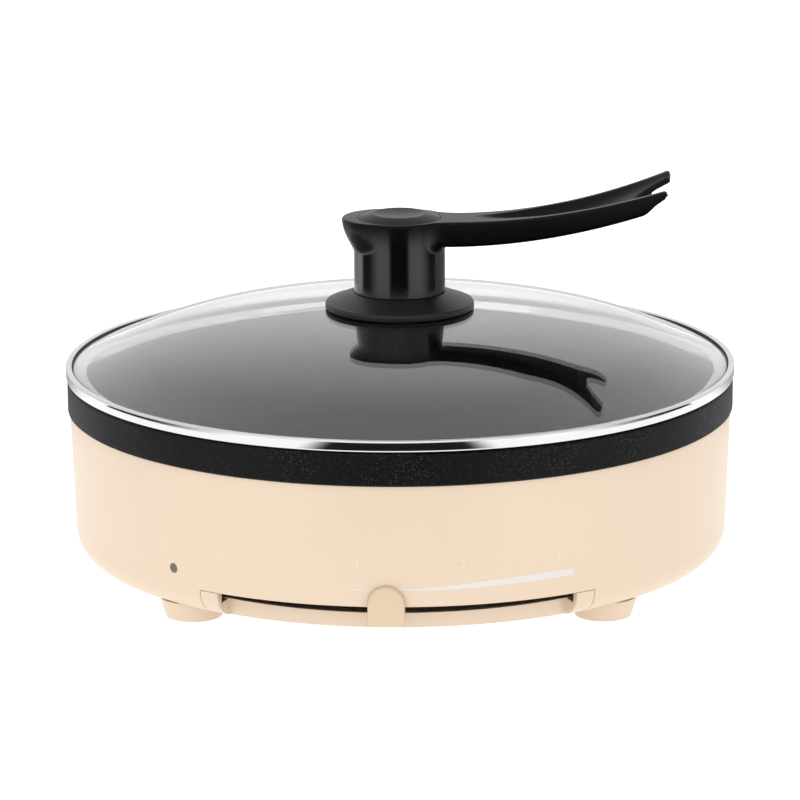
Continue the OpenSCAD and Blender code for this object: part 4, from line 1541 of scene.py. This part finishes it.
@dataclass
class Control:
    """The lever that sets the heat."""

    nodes: dict[str, bpy.types.Object]
    rest: float = 1.7
    edge: float = 0.3
    tab_in: float = 153.3
    tab_out: float = 156.0
    tab_w: float = 16.7
    tab_low: float = 12.85
    tab_high: float = 31.15
    round_off: float = 2.2
    side_in: float = 0.45
    top_in: float = 1.35
    foot_in: float = 0.4

    def ring(self, inset: float, radius: float, shrink: float = 0.0) -> list[Point3]:
        """One outline of the tab.

        Args:
            inset: How far it is drawn in from the tab's own outline, most at the top.
            radius: Its distance from the Z axis.
            shrink: The share by which it is shrunk to its middle.

        Returns:
            Its points, from the lower left over the half round to the lower right.
        """
        arc, round_r = 24, self.tab_w / 2
        half, tall = round_r - inset * self.side_in, round_r - inset * self.top_in
        spring = self.tab_high - round_r
        middle = (self.tab_low + spring) / 2
        flat = [(-half, self.tab_low + inset * self.foot_in), (-half, middle)]
        bow = [math.pi * (1 - k / arc) for k in range(arc + 1)]
        shape = flat + [(half * math.cos(t), spring + tall * math.sin(t)) for t in bow]
        shape += [(-u, v) for u, v in reversed(flat)]
        shape = [(u * (1 - shrink), middle + (v - middle) * (1 - shrink)) for u, v in shape]
        turns = [(u / self.tab_out - math.radians(self.rest), v) for u, v in shape]
        return [(radius * math.sin(a), -radius * math.cos(a), v) for a, v in turns]

    def tab(self) -> bpy.types.Mesh:
        """The thumb tab with its rim rounded over.

        Returns:
            A closed mesh.
        """
        steps = 6
        rings = [self.ring(0.0, self.tab_in)]
        for k in range(steps + 1):
            a = math.pi / 2 * k / steps
            proud = self.tab_out - self.round_off * (1 - math.sin(a))
            rings.append(self.ring(self.round_off * (1 - math.cos(a)), proud))
        rings += [self.ring(self.round_off, self.tab_out, shrink) for shrink in (0.3, 0.6, 0.95)]
        return tidied(lofted("tab", rings[::-1]))

    def build(self) -> None:
        """Makes the lever with its rounded tab."""
        reach, tall, spare = 30, 60, 5
        low, high = (-reach, -self.tab_out - spare, 0), (reach, -self.tab_in - self.edge, tall)
        arm = joined(softened(self.nodes["control_lever"], self.edge), box(low, high), Meeting.CUT)
        lever = tidied(joined(arm, self.tab(), Meeting.UNITED))
        # The lever takes the darker copy of the cream: painted shade on the tab.
        dressed("soft_lever", lever, Body.CONTROL, Slot.CREAM, ["control_lever"], SHADED_TAB_CREAM)


@dataclass
class Inlet:
    """The appliance inlet at the back."""

    nodes: dict[str, bpy.types.Object]
    lathe: Lathe
    scatter: Scatter
    y: float = 147.0
    z: float = 24.8
    hole: float = 20.0
    inlet_edge: float = 0.4
    pin_edge: float = 0.25
    head_r: float = 3.0
    head_h: float = 2.2
    shank_r: float = 1.5
    shank_len: float = 7.4
    shoulder: float = 0.62
    crown: float = 0.35
    cross_long: float = 0.62
    cross_w: float = 0.42
    cross_low: float = 0.35

    def screw(self) -> bpy.types.Mesh:
        """One screw that points down, with a cross in its head.

        Returns:
            A closed mesh.
        """
        profile = [
            (0.0, -self.shank_len, 0.0),
            (self.shank_r, -self.shank_len, 0.3),
            (self.shank_r, 0.0, 0.0),
            (self.head_r, 0.0, 0.2),
            (self.head_r, self.head_h * self.shoulder, 0.9),
            (self.head_r * self.crown, self.head_h, 0.3),
            (0.0, self.head_h, 0.0),
        ]
        made = self.lathe.turned(filleted(profile, 3), Slot.STEEL, 48)
        long, deep = self.head_r * self.cross_long, self.head_h * self.cross_low
        for u, v in ((self.cross_w, long), (long, self.cross_w)):
            made = joined(made, box((-u, -v, deep), (u, v, self.head_h + 1)), Meeting.CUT)
        return made

    def build(self) -> None:
        """Makes the inlet, its pins and its screws."""
        for name, node, edge, slot in (
            ("soft_inlet", "power_inlet", self.inlet_edge, Slot.INLET),
            ("soft_pins", "inlet_pins", self.pin_edge, Slot.STEEL),
        ):
            dressed(name, softened(self.nodes[node], edge), Body.BASE, slot, [node])
        spots = [(x, self.y, self.z) for x in (-self.hole, self.hole)]
        screws = self.scatter.scattered(self.screw(), spots, (-math.pi / 2, 0.0, 0.0), Slot.STEEL)
        dressed("inlet_cross_screws", screws, Body.BASE, Slot.STEEL, ["inlet_screws"])


@dataclass
class CarriedOver:
    """The CAD nodes that keep their own shape."""

    nodes: dict[str, bpy.types.Object]
    slots: dict[str, str]

    def build(self) -> None:
        """Gives each node the finish of its slot."""
        for name, node in self.nodes.items():
            finish = FINISHES[Slot(self.slots[name])].material()
            node.data.materials.clear()
            node.data.materials.append(finish)
            LOG.info("%s: carried over in %s", name, finish.name)


# Studio


@dataclass(frozen=True)
class Lamp:
    """A soft box that looks at the object."""

    name: str
    place: Point3
    size: Point2
    power: float
    aim: Point3 = (0.0, 0.0, 0.08)

    def build(self) -> None:
        """Makes the light."""
        data = bpy.data.lights.new(self.name, "AREA")
        data.shape, data.size, data.size_y, data.energy = "RECTANGLE", *self.size, self.power
        lamp = object_of(self.name, data)
        lamp.location, lamp.visible_glossy = self.place, False
        lamp.rotation_mode = "QUATERNION"
        lamp.rotation_quaternion = (Vector(self.aim) - Vector(self.place)).to_track_quat("-Z", "Y")


@dataclass(frozen=True)
class Card:
    """A card on the floor that only reflections show, between two angles from the front."""

    name: str
    first: float
    last: float
    finish: Finish
    near: float = 0.55
    far: float = 1.9
    lift: float = 0.004
    parts: int = 24

    def build(self) -> None:
        """Makes the card."""
        step = (self.last - self.first) / self.parts
        turns = [math.radians(self.first + step * k) for k in range(self.parts + 1)]
        reach = (self.near, self.far)
        points = [(r * math.sin(a), -r * math.cos(a), self.lift) for a in turns for r in reach]
        faces = [(2 * k, 2 * k + 1, 2 * k + 3, 2 * k + 2) for k in range(self.parts)]
        mesh = bpy.data.meshes.new(self.name)
        mesh.from_pydata(points, [], faces)
        mesh.materials.append(self.finish.material())
        card = object_of(self.name, mesh)
        card.visible_camera = card.visible_diffuse = card.visible_shadow = False
        card.visible_transmission = False


@dataclass
class Studio:
    """Pale floor, even surroundings, soft light and the camera, in metres and degrees."""

    distance: float = 2.2
    elevation: float = 13.87
    azimuth: float = 0.8
    roll: float = -0.32
    aim_x: float = -0.00011
    aim_z: float = 0.07775
    lens: float = 211.31
    sensor: float = 36.0
    clip: Point2 = (0.05, 50.0)
    floor_half: float = 6.0
    sky: float = 1.0
    sun: float = 0.5
    sun_wide: float = 80.0
    sun_tilt: float = 38.0
    sun_turn: float = -18.0
    lamps: tuple[Lamp, ...] = (
        Lamp("left_box", (-1.2, -1.5, 1.5), (1.2, 1.2), 3.5),
        Lamp("right_box", (1.3, -1.4, 1.3), (1.2, 1.2), 3.0),
    )
    cards: tuple[Card, ...] = (
        Card("front_card", -29.0, 29.0, Faded("front_fade", 29.0, 19.0), near=0.27),
        Card("left_card", -104.0, -44.0, Faded("left_fade", 46.0, 84.0)),
        Card("right_card", 44.0, 104.0, Faded("right_fade", 50.0, 90.0)),
        Card("back_card", 112.0, 248.0, Faded("back_fade", 112.0, 140.0, 0.3), 0.35, 3.5),
    )

    def camera(self) -> None:
        """Makes the camera at the photograph's angle."""
        e, a, r = (math.radians(v) for v in (self.elevation, self.azimuth, self.roll))
        back = Vector((math.sin(a) * math.cos(e), -math.cos(a) * math.cos(e), math.sin(e)))
        right = Vector((math.cos(a), math.sin(a), 0.0))
        up = back.cross(right)
        side = right * math.cos(r) + up * math.sin(r)
        over = up * math.cos(r) - right * math.sin(r)
        spot = right * self.aim_x + Vector((0, 0, self.aim_z)) + back * self.distance
        data = bpy.data.cameras.new("photo_camera")
        data.lens, data.sensor_width = self.lens, self.sensor
        data.clip_start, data.clip_end = self.clip
        camera = object_of("photo_camera", data)
        camera.matrix_world = Matrix.Translation(spot) @ Matrix((side, over, back)).transposed().to_4x4()
        bpy.context.scene.camera = camera

    def floor(self) -> None:
        """Makes the floor."""
        half = self.floor_half
        corners = [(-half, -half, 0), (half, -half, 0), (half, half, 0), (-half, half, 0)]
        mesh = bpy.data.meshes.new("floor")
        mesh.from_pydata(corners, [], [range(4)])
        mesh.materials.append(FLOOR.material())
        object_of("studio_floor", mesh)

    def build(self) -> None:
        """Makes floor, surroundings and lights."""
        self.floor()
        world = bpy.data.worlds.new("studio")
        world.use_nodes = True
        world.node_tree.nodes.clear()
        g = Graph(world.node_tree)
        sky = g.node("ShaderNodeBackground", {}, {"Color": (self.sky, self.sky, self.sky, 1.0)})
        g.node("ShaderNodeOutputWorld", {}, {"Surface": sky})
        bpy.context.scene.world = world
        bpy.context.scene.view_settings.view_transform = "Standard"
        for thing in self.lamps + self.cards:
            thing.build()
        data = bpy.data.lights.new("soft_sun", "SUN")
        data.energy, data.angle = self.sun, math.radians(self.sun_wide)
        sun = object_of("soft_sun", data)
        sun.rotation_euler = (math.radians(self.sun_tilt), 0.0, math.radians(self.sun_turn))


def main() -> None:
    """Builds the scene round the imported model."""
    logging.basicConfig(level=logging.INFO, format="%(name)s %(message)s")
    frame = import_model()
    studio = Studio()
    studio.camera()
    studio.build()
    nodes = frame["nodes"]
    slots = {s["node"]: s["material_slot"] for s in frame["record"]["subparts"]}
    lathe, scatter = Lathe(), Scatter()
    CarriedOver(nodes, slots).build()
    lid = Lid(lathe)
    lid.build()
    Handle(lid, lathe).build()
    Housing(nodes, lathe, scatter).build()
    Control(nodes).build()
    Inlet(nodes, lathe, scatter).build()


if __name__ == "__main__":
    main()
